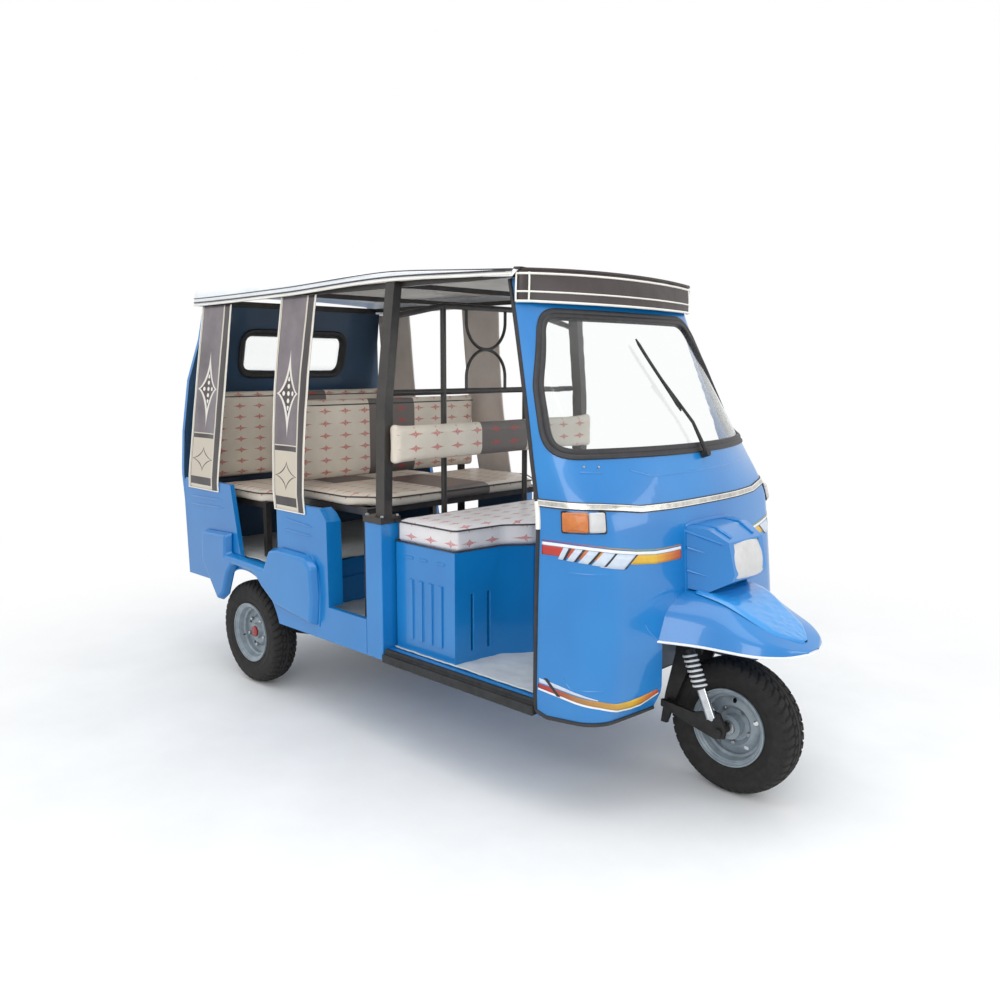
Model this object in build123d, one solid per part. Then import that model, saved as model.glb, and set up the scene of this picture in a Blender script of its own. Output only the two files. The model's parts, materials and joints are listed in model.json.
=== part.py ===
from build123d import *
import math
import os

os.makedirs("parts", exist_ok=True)

# ---------------------------------------------------------------- driving dimensions, mm
# Built with the rear axle at X = 0, +X forward, +Z up; every node is moved at export so
# that the origin is the middle of the bounding box's bottom.
WHEELBASE = 2242.0
TRACK = 1142.0             # between the rear wheels' middle planes
REAR_END = -595.0          # rearmost point of the rear wall
FRONT_END = WHEELBASE + 278.0   # tip of the front fender
X_MID = (REAR_END + FRONT_END) / 2

TYRE_R = 246.0             # 4.50-10 tyre
RIM_R = 141.0              # rim flange
BEAD_R = 127.0             # bead seat
BEAD_HALF = 50.0           # half width over the tyre's beads
HUB_BORE_R = 14.0
AXLE_CLEAR = 0.08          # running clearance, hub on axle
SEAT_GAP = 0.3             # what is left between pieces that rest on each other

HALF_W = 640.0             # body's outer side plane
PANEL = 22.0               # double-skinned side panel
WALL = 24.0                # front cowl, skin to inner skin

FLOOR_LOW = 392.0          # top of the driver's and middle floor
FLOOR_HIGH = 600.0         # top of the raised rear floor
STEP_X = 319.0             # riser between the two floors
SHEET = 12.0               # floor sheet with its stiffeners
MAT = 5.0

SILL_Z = 498.0             # top of the middle door's sill
BELT_Z = 916.0             # top of the short panel between the doors
QUARTER_Z = 949.0          # top of the rear quarter
BODY_BOTTOM = 350.0
ARCH_R = 300.0             # rear wheel opening
POST_X = (985.0, 1038.0)   # door post

DOOR_X = WHEELBASE - 392.0   # rear edge of the cowl
DOOR_KINK_Z = 984.0        # above this the edge leans back
COWL_BOTTOM = 345.0
COWL_TOP = 1728.0          # the visor hides what is above
HEADER_TOP = 1811.7        # the roof rails rest here
DOOR_LEAN = 210.0 / 744.0  # X per Z of the leaning edge

GLASS_LOW = 1214.0         # bottom of the windshield rubber
GLASS_HIGH = 1700.0
GLASS_MARGIN = 62.0        # blue pillar left behind the rubber
RUBBER = 32.0              # width of the rubber
WELL_HALF = 288.0          # front wheel's opening
WELL_TOP = 606.0
WELL_BACK = WHEELBASE - 317.0
WELL_ROOF = 646.0          # underside of the inner housing over the wheel

RAKE = math.radians(20.0)  # steering axis leans back
STEER_X = WHEELBASE - 164.0   # steering axis at STEER_Z
STEER_Z = 560.0
COLUMN_R = 20.0
COLUMN_CLEAR = 1.0

RAIL_Y = TRACK / 2 - 241.0   # middle of a chassis rail
RAIL_W = 50.0
HUB_FACE = TRACK / 2 - 93.0   # inner face of a rear hub
ENGINE_HALF = 170.0
TUBE_R = 12.5              # partition tube
FRAME_X = POST_X[0] - SEAT_GAP - TUBE_R

ROOF_HALF = 562.0
ROOF_SKIN = 10.0
CURTAIN = 6.0


# ---------------------------------------------------------------- helpers
def block(x0, x1, y0, y1, z0, z1):
    """Box between two corners."""
    middle = ((x0 + x1) / 2, (y0 + y1) / 2, (z0 + z1) / 2)
    return Pos(*middle) * Box(x1 - x0, y1 - y0, z1 - z0)


def side_plate(points, y0, y1, radius=0.0, picked=()):
    """Outline of (x, z) points extruded from y0 to y1; the picked corners are rounded."""
    face = make_face(Polyline(*[(x, y0, z) for x, z in points], close=True))
    if radius:
        spots = [Vector(points[i][0], y0, points[i][1]) for i in picked]
        corners = [v for v in face.vertices() if any((Vector(*v) - spot).length < 0.01 for spot in spots)]
        face = fillet(corners, radius)
    return extrude(face, amount=y1 - y0, dir=(0, 1, 0))


def plan_plate(points, z0, z1):
    """Outline of (x, y) points extruded upwards."""
    face = make_face(Polyline(*[(x, y, z0) for x, y in points], close=True))
    return extrude(face, amount=z1 - z0, dir=(0, 0, 1))


def front_plate(points, x0, x1):
    """Outline of (y, z) points extruded along X."""
    face = make_face(Polyline(*[(x0, y, z) for y, z in points], close=True))
    return extrude(face, amount=x1 - x0, dir=(1, 0, 0))


def blended_rows(table, keys):
    """Rows between a table's rows, on smooth curves that never overshoot; the first column is the key."""
    known = [row[0] for row in table]
    steps = [[(b[c] - a[c]) / (b[0] - a[0]) for c in range(len(a))] for a, b in zip(table, table[1:])]
    slopes = [steps[0]]
    for a, b in zip(steps, steps[1:]):
        slopes.append([0.0 if p * q <= 0 else 2 * p * q / (p + q) for p, q in zip(a, b)])
    slopes.append(steps[-1])
    rows = []
    for key in keys:
        i = max(k for k in range(len(known) - 1) if known[k] <= key)
        h = known[i + 1] - known[i]
        u = (key - known[i]) / h
        rows.append([
            (2 * u**3 - 3 * u**2 + 1) * table[i][c] + (u**3 - 2 * u**2 + u) * h * slopes[i][c]
            + (3 * u**2 - 2 * u**3) * table[i + 1][c] + (u**3 - u**2) * h * slopes[i + 1][c]
            for c in range(len(table[0]))
        ])
    return rows


def rod(p, q, r):
    """Round bar between two points."""
    start = Vector(*p)
    along = Vector(*q) - start
    plane = Plane(origin=start, z_dir=along)
    return extrude(plane * Circle(r), amount=along.length)


def pipe(p, q, r_out, r_in):
    """Tube between two points."""
    start = Vector(*p)
    along = Vector(*q) - start
    plane = Plane(origin=start, z_dir=along)
    return extrude(plane * (Circle(r_out) - Circle(r_in)), amount=along.length)


def bent_rod(points, r):
    """Round bar along straight lengths, with ball corners."""
    solid = rod(points[0], points[1], r)
    for p, q in zip(points[1:-1], points[2:]):
        solid += Pos(*p) * Sphere(r)
        solid += rod(p, q, r)
    return solid


def both_sides(solid):
    """The piece and its mirror image across the middle plane."""
    return [solid, mirror(solid, Plane.XZ)]


def steer_point(z):
    """Point of the steering axis at height z."""
    return (STEER_X - (z - STEER_Z) * math.tan(RAKE), 0, z)


def save(node, pieces):
    """Write one node's solids, moved to the shared frame."""
    group = pieces if isinstance(pieces, list) else [pieces]
    solids = [s.moved(Location((-X_MID, 0, 0))) for piece in group for s in piece.solids()]
    export_step(Compound(children=solids) if len(solids) > 1 else solids[0], "parts/" + node + ".step")
    print(node, len(solids), "solids", round(sum(s.volume for s in solids) / 1e6, 2), "litres")


# ---------------------------------------------------------------- front cowl
# columns: height, X behind or ahead of DOOR_X and half width at the door edge, the same at the
# front corner, X of the nose, corner radius
COWL_SHAPE = [
    (COWL_BOTTOM, 0, 632, 212, 575, 242, 110),
    (430, 0, 636, 235, 590, 276, 140),
    (DOOR_KINK_Z, 0, 628, 192, 578, 252, 180),
    (GLASS_LOW, -65, 605, 75, 572, 205, 180),
    (COWL_TOP, -250, 542, -202, 532, -112, 90),
    (HEADER_TOP, -270, 534, -218, 526, -138, 80),
]
COWL_HEIGHTS = (COWL_BOTTOM, 385, 430, 650, 850, DOOR_KINK_Z, 1100, GLASS_LOW, 1380, 1560, COWL_TOP, HEADER_TOP)
COWL_SECTIONS = blended_rows(COWL_SHAPE, COWL_HEIGHTS)


def cowl_section(row, inset, back, dz=0.0):
    """Closed plan outline of the cowl at one height."""
    z, door, w_door, corner, w_corner, nose, radius = row
    x_door = DOOR_X + door
    x_corner = DOOR_X + corner
    x_nose = DOOR_X + nose
    lean = (w_door - w_corner) / (x_corner - x_door)
    a = (x_door - back, w_door + lean * back - inset)
    b = (x_corner - inset, w_corner - inset)
    near = Line((a[0], -a[1]), (b[0], -b[1]))
    front = ThreePointArc((b[0], -b[1]), (x_nose - inset, 0), b)
    far = Line(b, a)
    rear = Line(a, (a[0], -a[1]))
    face = make_face([near, front, far, rear])
    corners = face.vertices().sort_by(Axis.X)[-2:]
    return Pos(0, 0, z + dz) * fillet(corners, radius - inset)


def cowl_body(inset, back, under=0.0, over=0.0):
    """Filled cowl shape; inset moves every side inwards."""
    sections = []
    for i, row in enumerate(COWL_SECTIONS):
        dz = -under if i == 0 else (over if i == len(COWL_SECTIONS) - 1 else 0.0)
        sections.append(cowl_section(row, inset, back, dz))
    return loft(sections, ruled=True)


def door_cut():
    """Everything behind the cowl's rear edge."""
    rows = COWL_SECTIONS
    edge = [(DOOR_X + row[1], row[0]) for row in rows]
    edge = [(DOOR_X, rows[0][0] - 50)] + edge[1:-1] + [(edge[-1][0] - 10, rows[-1][0] + 40)]
    return side_plate(edge + [(DOOR_X - 600, edge[-1][1]), (DOOR_X - 600, edge[0][1])], -700, 700)


def glass_prism(inset):
    """Side outline of the windshield opening, right across the cab."""
    low = GLASS_LOW + inset
    high = GLASS_HIGH - inset
    x_low = DOOR_X - (low - DOOR_KINK_Z) * DOOR_LEAN + GLASS_MARGIN + inset
    x_high = DOOR_X - (high - DOOR_KINK_Z) * DOOR_LEAN + GLASS_MARGIN + inset
    points = [(x_low, low), (FRONT_END, low), (FRONT_END, high), (x_high, high)]
    return side_plate(points, -700, 700, 95 - inset, (0, 3))


def front_cowl():
    shell = cowl_body(0, 90) - cowl_body(WALL, 140, 8, 8)
    shell -= door_cut()
    shell -= glass_prism(0)
    shell -= block(WELL_BACK - 25, FRONT_END, -WELL_HALF, WELL_HALF, 300, WELL_TOP)
    return shell


def windshield_gasket():
    ring = cowl_body(-5, 90) - cowl_body(WALL + 3, 140, 8, 8)
    ring &= glass_prism(0)
    return ring - glass_prism(RUBBER)


def windshield_glass():
    sheet = cowl_body(8, 90) - cowl_body(14, 140, 8, 8)
    return sheet & glass_prism(RUBBER)


# ---------------------------------------------------------------- headlamp, fender, lamps
# columns: X from the front axle, height, along the side of the housing and of its hollow
LAMP_SIDE = [(-162, 968), (-130, 720), (-52, 742), (26, 786), (34, 812), (10, 922), (-62, 962)]
LAMP_HOLLOW = [(-182, 950), (-152, 735), (-52, 757), (8, 797), (-6, 905), (-62, 944)]
# columns: X from the front axle, half width, in plan
LAMP_PLAN = [(-182, 150), (-132, 150), (48, 104)]
LENS_SIDE = [(10, 800), (37, 800), (30, 860), (14, 915), (-13, 915)]
LENS_HALF = 84.0


def from_axle(points):
    """The table's X values, moved to the front axle."""
    return [(WHEELBASE + x, other) for x, other in points]


def lamp_shape(side, inset):
    """Wedge that narrows forwards in plan."""
    plan = [(x, y - inset) for x, y in from_axle(LAMP_PLAN)]
    plan += [(x, -y) for x, y in reversed(plan)]
    return side_plate(from_axle(side), -200, 200) & plan_plate(plan, 650, 1050)


def headlamp_housing():
    body = lamp_shape(LAMP_SIDE, 0) - lamp_shape(LAMP_HOLLOW, 22)
    body -= cowl_body(0, 90)
    body -= Pos(0, 0, SEAT_GAP) * fender_body(0, FENDER_STATIONS)
    opening = [(-2, 800), (48, 800), (48, 915), (-18, 915)]
    return body - side_plate(from_axle(opening), -LENS_HALF, LENS_HALF)


def headlamp_lens():
    half = LENS_HALF - SEAT_GAP
    side = [(x, min(max(z, 800 + SEAT_GAP), 915 - SEAT_GAP)) for x, z in LENS_SIDE]
    return side_plate(from_axle(side), -half, half)


# columns: X from the front axle, lower edge Z, half width, shoulder Z, half width of the top pad, crest Z
FENDER_SHAPE = [
    (-172, 590, 330, 700, 120, 775),
    (-2, 585, 252, 672, 110, 742),
    (158, 578, 205, 628, 84, 655),
    (243, 574, 130, 600, 46, 606),
    (278, 572, 40, 580, 14, 583),
]
FENDER_STATIONS = blended_rows(FENDER_SHAPE, (-172, -87, -2, 78, 158, 205, 243, 278))


def fender_body(inset, stations):
    return loft([fender_section(*row, inset) for row in stations], ruled=True)


def front_fender():
    """Beak over the front wheel, hollow underneath."""
    shell = fender_body(0, FENDER_STATIONS) - fender_body(8, FENDER_STATIONS[:-1])
    return shell - cowl_body(0, 90)


def fender_section(ahead, z_low, half, z_shoulder, pad, z_top, inset):
    """Half-hexagon slice of the fender."""
    x = WHEELBASE + ahead
    low = z_low - (20 if inset else 0)
    half -= inset
    z_shoulder -= inset
    pad -= inset / 2
    z_top -= inset
    points = [(-half, low), (half, low), (half, z_shoulder - 0.45 * (z_shoulder - z_low)), (pad, z_top)]
    points += [(-pad, z_top), (-half, z_shoulder - 0.45 * (z_shoulder - z_low))]
    return make_face(Polyline(*[(x, y, z) for y, z in points], close=True))


def indicator(x0, x1):
    """Lamp block on the cowl's flank, from its skin outwards."""
    body = block(x0, x1, -680, -500, 977, 1036)
    shape = cowl_body(-22, 90) & body
    return shape - cowl_body(-SEAT_GAP, 140, 8, 8)


def wiper():
    """Arm and blade just off the glass, its pivot on the cowl under the rubber."""
    x = DOOR_X
    arm = bent_rod([(x + 222, 10, 1200), (x + 156, 30, 1328), (x + 62, -62, 1484)], 5)
    arm += rod((x + 142, -30, 1350), (x - 14, -94, 1610), 5)
    arm += rod((x + 190, 10, 1190), (x + 228, 10, 1206), 13)
    return arm - cowl_body(-5 - SEAT_GAP, 90)


# ---------------------------------------------------------------- rear body
def wheel_cut():
    """Rear wheel openings through the side panels."""
    return Pos(0, 0, TYRE_R + 6) * Rot(90, 0, 0) * Cylinder(ARCH_R, 2000)


SIDE_OUTLINE = [
    (-526.7, 455), (-543.7, 829), (-558, QUARTER_Z), (-108, QUARTER_Z), (-41, 640), (-30, 605), (290, 605), (290, BELT_Z),
    (622, BELT_Z), (667, 868), (672, SILL_Z), (POST_X[0] - 55, SILL_Z), (POST_X[0] - 55, BODY_BOTTOM), (-240, BODY_BOTTOM),
    (-240, 455),
]


def side_panel():
    """Left side panel with both door openings and the wheel opening."""
    plate = side_plate(SIDE_OUTLINE, HALF_W - PANEL, HALF_W, 22, (2, 7, 8, 9))
    lip = [(600, BELT_Z - 2), (640, 893), (667, 862), (672, SILL_Z), (650, SILL_Z), (645, 860), (590, 895)]
    return (plate + side_plate(lip, HALF_W - 75, HALF_W - PANEL)) - wheel_cut()


FLARE = [
    (-345, 712), (-92, 722), (-100, 625), (215, 612), (262, 700), (332, 713), (548, 709), (606, 668), (618, 531), (600, 402),
    (300, 440), (194, 505), (129, 560), (-50, 566), (-88, 524), (-140, 410), (-206, 366), (-352, 553),
]


FLARE_DEPTH = 42.0
FLARE_SLOPE = 15.0         # how far the outer face is drawn in


def drawn_in(points, distance):
    """The outline with every side moved inwards by a distance."""
    count = len(points)
    lines = []
    for (x0, z0), (x1, z1) in zip(points, points[1:] + points[:1]):
        length = math.hypot(x1 - x0, z1 - z0)
        nx, nz = (z1 - z0) / length, -(x1 - x0) / length
        lines.append((nx, nz, nx * x0 + nz * z0 + distance))
    corners = []
    for i in range(count):
        (a, b, c), (d, e, f) = lines[i - 1], lines[i]
        across = a * e - b * d
        corners.append(((c * e - b * f) / across, (a * f - c * d) / across))
    return corners


def wheel_flare():
    """Guard outside the rear wheel opening, drawn in towards its outer face."""
    base = make_face(Polyline(*[(x, HALF_W, z) for x, z in FLARE], close=True))
    cap = drawn_in(FLARE, FLARE_SLOPE)
    top = make_face(Polyline(*[(x, HALF_W + FLARE_DEPTH, z) for x, z in cap], close=True))
    return loft([base, top], ruled=True)


def door_post_box():
    """Square lower part of the door post."""
    outer = block(POST_X[0] - 55, POST_X[1] - 4, HALF_W - 92, HALF_W, BODY_BOTTOM, 900)
    return outer - block(POST_X[0] - 43, POST_X[1] - 16, HALF_W - 80, HALF_W - 12, BODY_BOTTOM - 10, 888)


WALL_OUT = [(-549, 455), (-566, 829), (-588, 1000), (REAR_END, 1180), (-562, 1436), (-500, 1684), (-472, 1802)]
PLATE_Z = 700.0            # two bolt holes for the number plate
PLATE_SPACING = 180.0
PLATE_HOLE_R = 3.5
WINDOW = (654.0, 1455.0, 1690.0)   # width, sill and head of the rear window's rubber


def rear_wall():
    """Back of the cabin with the window opening, narrower towards the roof."""
    inner = [(x + PANEL, z) for x, z in reversed(WALL_OUT)]
    wall = side_plate(WALL_OUT + inner, -HALF_W, HALF_W)
    taper = [(-HALF_W, 400), (HALF_W, 400), (HALF_W, 960), (600, 1436), (558, 1640), (540, 1850)]
    taper += [(-540, 1850), (-558, 1640), (-600, 1436), (-HALF_W, 960)]
    wall &= front_plate(taper, -700, 200)
    wall -= window_prism(0)
    for side in (-1, 1):
        y = side * PLATE_SPACING / 2
        wall -= rod((-700, y, PLATE_Z), (-400, y, PLATE_Z), PLATE_HOLE_R)
    return wall


def window_prism(inset):
    """Rounded window outline right through the rear wall."""
    width, low, high = WINDOW
    face = RectangleRounded(width - 2 * inset, high - low - 2 * inset, 60 - inset)
    return extrude(Plane(origin=(-700, 0, (low + high) / 2), x_dir=(0, 1, 0), z_dir=(1, 0, 0)) * face, amount=400)


def wall_layer(out, thick):
    """Slice of the rear wall's curve, moved out and of a given thickness."""
    skin = [(x - out, z) for x, z in WALL_OUT]
    return side_plate(skin + [(x + thick, z) for x, z in reversed(skin)], -HALF_W, HALF_W)


def rear_window_gasket():
    ring = wall_layer(4, PANEL + 8) & window_prism(0)
    return ring - window_prism(22)


def rear_window_glass():
    return wall_layer(-8, 5) & window_prism(22)


def floor_pan():
    """Bent sheet: low front floor, riser with its ledge, raised rear floor."""
    top = [(DOOR_X - 4, FLOOR_LOW), (STEP_X + 16, FLOOR_LOW), (STEP_X + 16, 517), (STEP_X, 517), (STEP_X, FLOOR_HIGH), (-530, FLOOR_HIGH)]
    low = [(-530, FLOOR_HIGH - SHEET), (STEP_X - SHEET, FLOOR_HIGH - SHEET), (STEP_X - SHEET, FLOOR_LOW - SHEET)]
    sheet = side_plate(top + low + [(DOOR_X - 4, FLOOR_LOW - SHEET)], -HALF_W + PANEL, HALF_W - PANEL)
    return sheet - post_spaces()


def post_spaces():
    """Room for the door post boxes through the floor and the mats."""
    room = block(POST_X[0] - 55.3, POST_X[1] - 3.7, HALF_W - 92.3, HALF_W + 5, 300, 950)
    return room + mirror(room, Plane.XZ)


def front_footwell():
    """Floor either side of the front wheel and the wheel's own housing."""
    plate = block(DOOR_X - 4 + SEAT_GAP, DOOR_X + 210, -HALF_W + 15, HALF_W - 15, FLOOR_LOW - SHEET, FLOOR_LOW)
    plate += block(WELL_BACK - 8, DOOR_X + 244, -WELL_HALF - 8, WELL_HALF + 8, FLOOR_LOW - SHEET, WELL_ROOF + 8)
    plate -= block(WELL_BACK, FRONT_END, -WELL_HALF, WELL_HALF, 300, WELL_ROOF)
    plate &= cowl_body(WALL + SEAT_GAP, 140, 8, 8)
    return plate - rod(steer_point(560), steer_point(760), COLUMN_R + 24)


# ---------------------------------------------------------------- chassis and running gear
def chassis_frame():
    """Two kicked-up rails, cross members, steering head and its stays."""
    high = FLOOR_LOW - SHEET
    low = high - 64
    up = FLOOR_HIGH - SHEET
    front = DOOR_X - 10
    outline = [(-500, up - 60), (-500, up), (STEP_X - 114, up), (STEP_X - 24, high), (front, high), (front, low)]
    outline += [(STEP_X - 64, low), (STEP_X - 149, up - 60)]
    frame = None
    for side in (-1, 1):
        rail = side_plate(outline, side * RAIL_Y - RAIL_W / 2, side * RAIL_Y + RAIL_W / 2)
        frame = rail if frame is None else frame + rail
    end = RAIL_Y - RAIL_W / 2 + 1
    for x in (-440, 120):
        frame += block(x - 22, x + 22, -end, end, up - 50, up - 4)
    for x in (520, POST_X[1] + 22, front - 340, front - 25):
        frame += block(x - 22, x + 22, -end, end, low + 4, low + 50)
    return frame


def steering_head():
    """Head tube with a stay plate down to the floor."""
    tube = pipe(steer_point(676), steer_point(800), COLUMN_R + 14, COLUMN_R + COLUMN_CLEAR)
    foot = WELL_ROOF + 8 + SEAT_GAP
    x = STEER_X
    web = [(x - 143, foot), (x - 48, foot), (x - 48, 690), (x - 88, 790), (x - 110, 790), (x - 143, 700)]
    stay = side_plate(web, -40, 40)
    for side in (-1, 1):
        stay -= block(x - 200, x + 50, min(side * 6, side * 60), max(side * 6, side * 60), 666, 900)
    bore = rod(steer_point(640), steer_point(820), COLUMN_R + COLUMN_CLEAR)
    return (tube + stay) - bore


def step_board():
    """Black tread outside the driver's floor."""
    seat = HALF_W - PANEL + SEAT_GAP
    rear = POST_X[1] + 2
    front = DOOR_X - 4
    low = FLOOR_LOW - SHEET
    return block(rear, front, seat, HALF_W + 12, low - 34, low) + block(rear, front, seat, HALF_W - 4, low, FLOOR_LOW + 6)


def trailing_arm():
    """Rear suspension arm from the chassis back to the wheel."""
    pivot = (420, HUB_FACE - 68, 290)
    axle = (0, TRACK / 2, TYRE_R)
    arm = rod(pivot, (24, HUB_FACE - 28, TYRE_R), 26)
    arm += rod((420, HUB_FACE - 118, 290), (420, HUB_FACE - 8, 290), 30)
    arm += rod((0, HUB_FACE - 53, TYRE_R), (0, HUB_FACE, TYRE_R), 52)
    rail_side = RAIL_Y + RAIL_W / 2 + SEAT_GAP
    arm += block(384, 452, rail_side, HUB_FACE - 106, 262, 376)
    return arm + rod((0, HUB_FACE, TYRE_R), (0, axle[1] + 34, TYRE_R), HUB_BORE_R)


def rear_spring():
    """Outline of a coil-over damper."""
    y = HUB_FACE - 38
    damper = rod((112, y, 262), (112, y, FLOOR_HIGH - SHEET - SEAT_GAP), 30)
    return damper - rod((24, HUB_FACE - 28, TYRE_R), (420, HUB_FACE - 68, 290), 26 + SEAT_GAP)


def engine_block():
    """Cast engine and gearbox, hung under the rear cross members."""
    top = FLOOR_HIGH - SHEET - 50 - SEAT_GAP
    half = ENGINE_HALF
    core = side_plate([(-190, 300), (-150, 190), (170, 190), (240, 270), (240, 470), (150, top), (-190, top)], -half, half)
    for i in range(7):
        core -= block(-200, -150, -half + 20, half - 20, 330 + 26 * i, 341 + 26 * i)
    sump = rod((40, 0, 176), (40, 0, 200), 90)
    return core + sump


def half_shaft():
    """Drive shaft from the gearbox to the hub carrier."""
    return rod((0, ENGINE_HALF + SEAT_GAP, TYRE_R), (0, HUB_FACE - 53 - SEAT_GAP, TYRE_R), 15)


# ---------------------------------------------------------------- wheels
TYRE_PROFILE = [
    (-BEAD_HALF, BEAD_R), (-BEAD_HALF, RIM_R + 2), (-61, 185), (-62, 205), (-54, 232), (-30, 243),
    (0, TYRE_R),
    (30, 243), (54, 232), (62, 205), (61, 185), (BEAD_HALF, RIM_R + 2), (BEAD_HALF, BEAD_R),
]


def tyre():
    """Closed tyre section turned about Y, centred at the origin."""
    inner = [(40, BEAD_R), (48, 190), (44, 222), (0, 234), (-44, 222), (-48, 190), (-40, BEAD_R)]
    section = make_face(Polyline(*[(0, y, r) for y, r in TYRE_PROFILE + inner], close=True))
    return revolve(section, axis=Axis.Y)


def rim(dish, hub_in, hub_out, bore):
    """Pressed disc wheel; dish is the disc's offset towards +Y, the hub runs from hub_in to hub_out."""
    flange = BEAD_HALF + SEAT_GAP
    outer = [(-20, BEAD_R - 6), (-14, 112), (14, 112), (20, BEAD_R - 6)]
    inner = [(45, BEAD_R - 6), (22, BEAD_R - 12), (18, 106), (-18, 106), (-22, BEAD_R - 12), (-45, BEAD_R - 6)]
    barrel = [(-58, RIM_R), (-flange, RIM_R), (-flange, BEAD_R - SEAT_GAP)] + outer
    barrel += [(flange, BEAD_R - SEAT_GAP), (flange, RIM_R), (58, RIM_R), (58, RIM_R - 5), (54, RIM_R - 5)]
    barrel += inner + [(-54, RIM_R - 5), (-58, RIM_R - 5)]
    wheel = revolve(make_face(Polyline(*[(0, y, r) for y, r in barrel], close=True)), axis=Axis.Y)
    disc = [(dish, bore), (dish, 62), (dish - 16, 78), (2, 109), (-4, 109), (dish - 22, 74), (dish - 6, 58), (dish - 6, bore)]
    wheel += revolve(make_face(Polyline(*[(0, y, r) for y, r in disc], close=True)), axis=Axis.Y)
    hub = [(hub_out, bore), (hub_out, 34), (dish, 40), (hub_in, 44), (hub_in, bore)]
    wheel += revolve(make_face(Polyline(*[(0, y, r) for y, r in hub], close=True)), axis=Axis.Y)
    for i in range(5):
        angle = math.radians(72 * i + 18)
        spot = Pos(90 * math.cos(angle), dish - 10, 90 * math.sin(angle))
        wheel -= spot * Rot(90, 0, 0) * Cylinder(9, 60)
    return wheel


# ---------------------------------------------------------------- steering
LINK_PIVOT = (WHEELBASE - 225.0, 293.0)
AXLE_SPOT = (WHEELBASE, TYRE_R)
SHOCK_FOOT = (WHEELBASE - 17.0, 300.0)
SHOCK_TOP = (WHEELBASE - 120.0, 528.0)
LEG_SIDE = [(-38, 566), (62, 566), (64, 500), (26, 470), (-32, 320), (-72, 206), (-98, 206), (-82, 320), (-44, 480)]


def fork_leg():
    """Pressed leg from the crown down to the link pivot."""
    return side_plate([(STEER_X + x, z) for x, z in LEG_SIDE], 72, 84)


def front_fork():
    fork = fork_leg() + mirror(fork_leg(), Plane.XZ)
    fork += block(STEER_X - 34, STEER_X + 58, -84, 84, 548, 572)
    for side in (-1, 1):
        fork += rod((LINK_PIVOT[0], side * 70, LINK_PIVOT[1]), (LINK_PIVOT[0], side * 101.7, LINK_PIVOT[1]), 12)
        fork += rod((SHOCK_TOP[0], side * 83, SHOCK_TOP[1]), (SHOCK_TOP[0], side * 117.7, SHOCK_TOP[1]), 9)
    return fork


def front_link():
    """Leading link from the pivot to the wheel spindle."""
    rear = LINK_PIVOT[0] - 18
    outline = from_axle([(-102, 292), (-30, 316), (-2, 312), (26, 262), (20, 226), (-18, 218), (-122, 244)])
    return side_plate([(rear, 305)] + outline + [(rear, 280)], 102, 116)


def front_axle():
    """Both links and the spindle that the wheel turns on."""
    spindle = rod((AXLE_SPOT[0], -124, AXLE_SPOT[1]), (AXLE_SPOT[0], 124, AXLE_SPOT[1]), HUB_BORE_R)
    return front_link() + mirror(front_link(), Plane.XZ) + spindle


def shock(part):
    """Chrome body or coil outline of the front damper, outside the link."""
    foot = Vector(SHOCK_FOOT[0], 140, SHOCK_FOOT[1])
    top = Vector(SHOCK_TOP[0], 140, SHOCK_TOP[1])
    along = top - foot
    split = foot + along * 0.42
    if part == "body":
        piece = rod(tuple(foot), tuple(split), 17)
        piece += rod((SHOCK_FOOT[0], 116.3, SHOCK_FOOT[1]), (SHOCK_FOOT[0], 142, SHOCK_FOOT[1]), 9)
        return piece
    return rod(tuple(split + along * 0.002), tuple(top), 22)


def handlebar():
    """Bar with swept-back ends, clamped on the column's top."""
    centre = steer_point(1106)
    bar = None
    for side in (-1, 1):
        path = [(centre[0], 0, 1112), (centre[0] - 6, side * 110, 1126), (centre[0] - 84, side * 268, 1108)]
        half = bent_rod(path, 11) + rod((centre[0] - 30, side * 158, 1120), path[2], 16)
        bar = half if bar is None else bar + half
    bar += rod(steer_point(1086), steer_point(1122), 27)
    column = rod(steer_point(555), steer_point(1090), COLUMN_R)
    bar += column - block(STEER_X - 100, STEER_X + 100, -60, 60, 500, 572 + SEAT_GAP)
    return bar


def instrument_pod():
    """Small speedometer case in front of the bar."""
    centre = steer_point(1106)
    pod = Pos(centre[0] + 24, 0, 1152) * Rot(0, -20, 0) * Cylinder(44, 44)
    return pod - handlebar()


# ---------------------------------------------------------------- cabin frame and partition
def cabin_posts():
    """Door posts, roof rails, roof bows and rear uprights as one welded frame."""
    post = [(HALF_W - 14, 920), (HALF_W - 26, 1380), (558, 1833), (520, 1833), (HALF_W - 66, 1380), (HALF_W - 54, 920)]
    frame = None
    for side in (-1, 1):
        piece = front_plate([(side * y, z) for y, z in post], *POST_X)
        piece += block(-472, DOOR_X - 226, min(side * 510, side * 532), max(side * 510, side * 532), 1812, 1832)
        cap = block(POST_X[0] - 60, POST_X[1] + 1, HALF_W - 96, HALF_W + 4, 900.3, 924.7)
        piece += cap if side > 0 else mirror(cap, Plane.XZ)
        frame = piece if frame is None else frame + piece
    for x in (-472, 300, POST_X[0], DOOR_X - 250):
        frame += block(x, x + 24, -520, 520, 1812, 1832)
    return frame + block(-472, -452, -520, 520, 1802.3, 1815)


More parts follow.
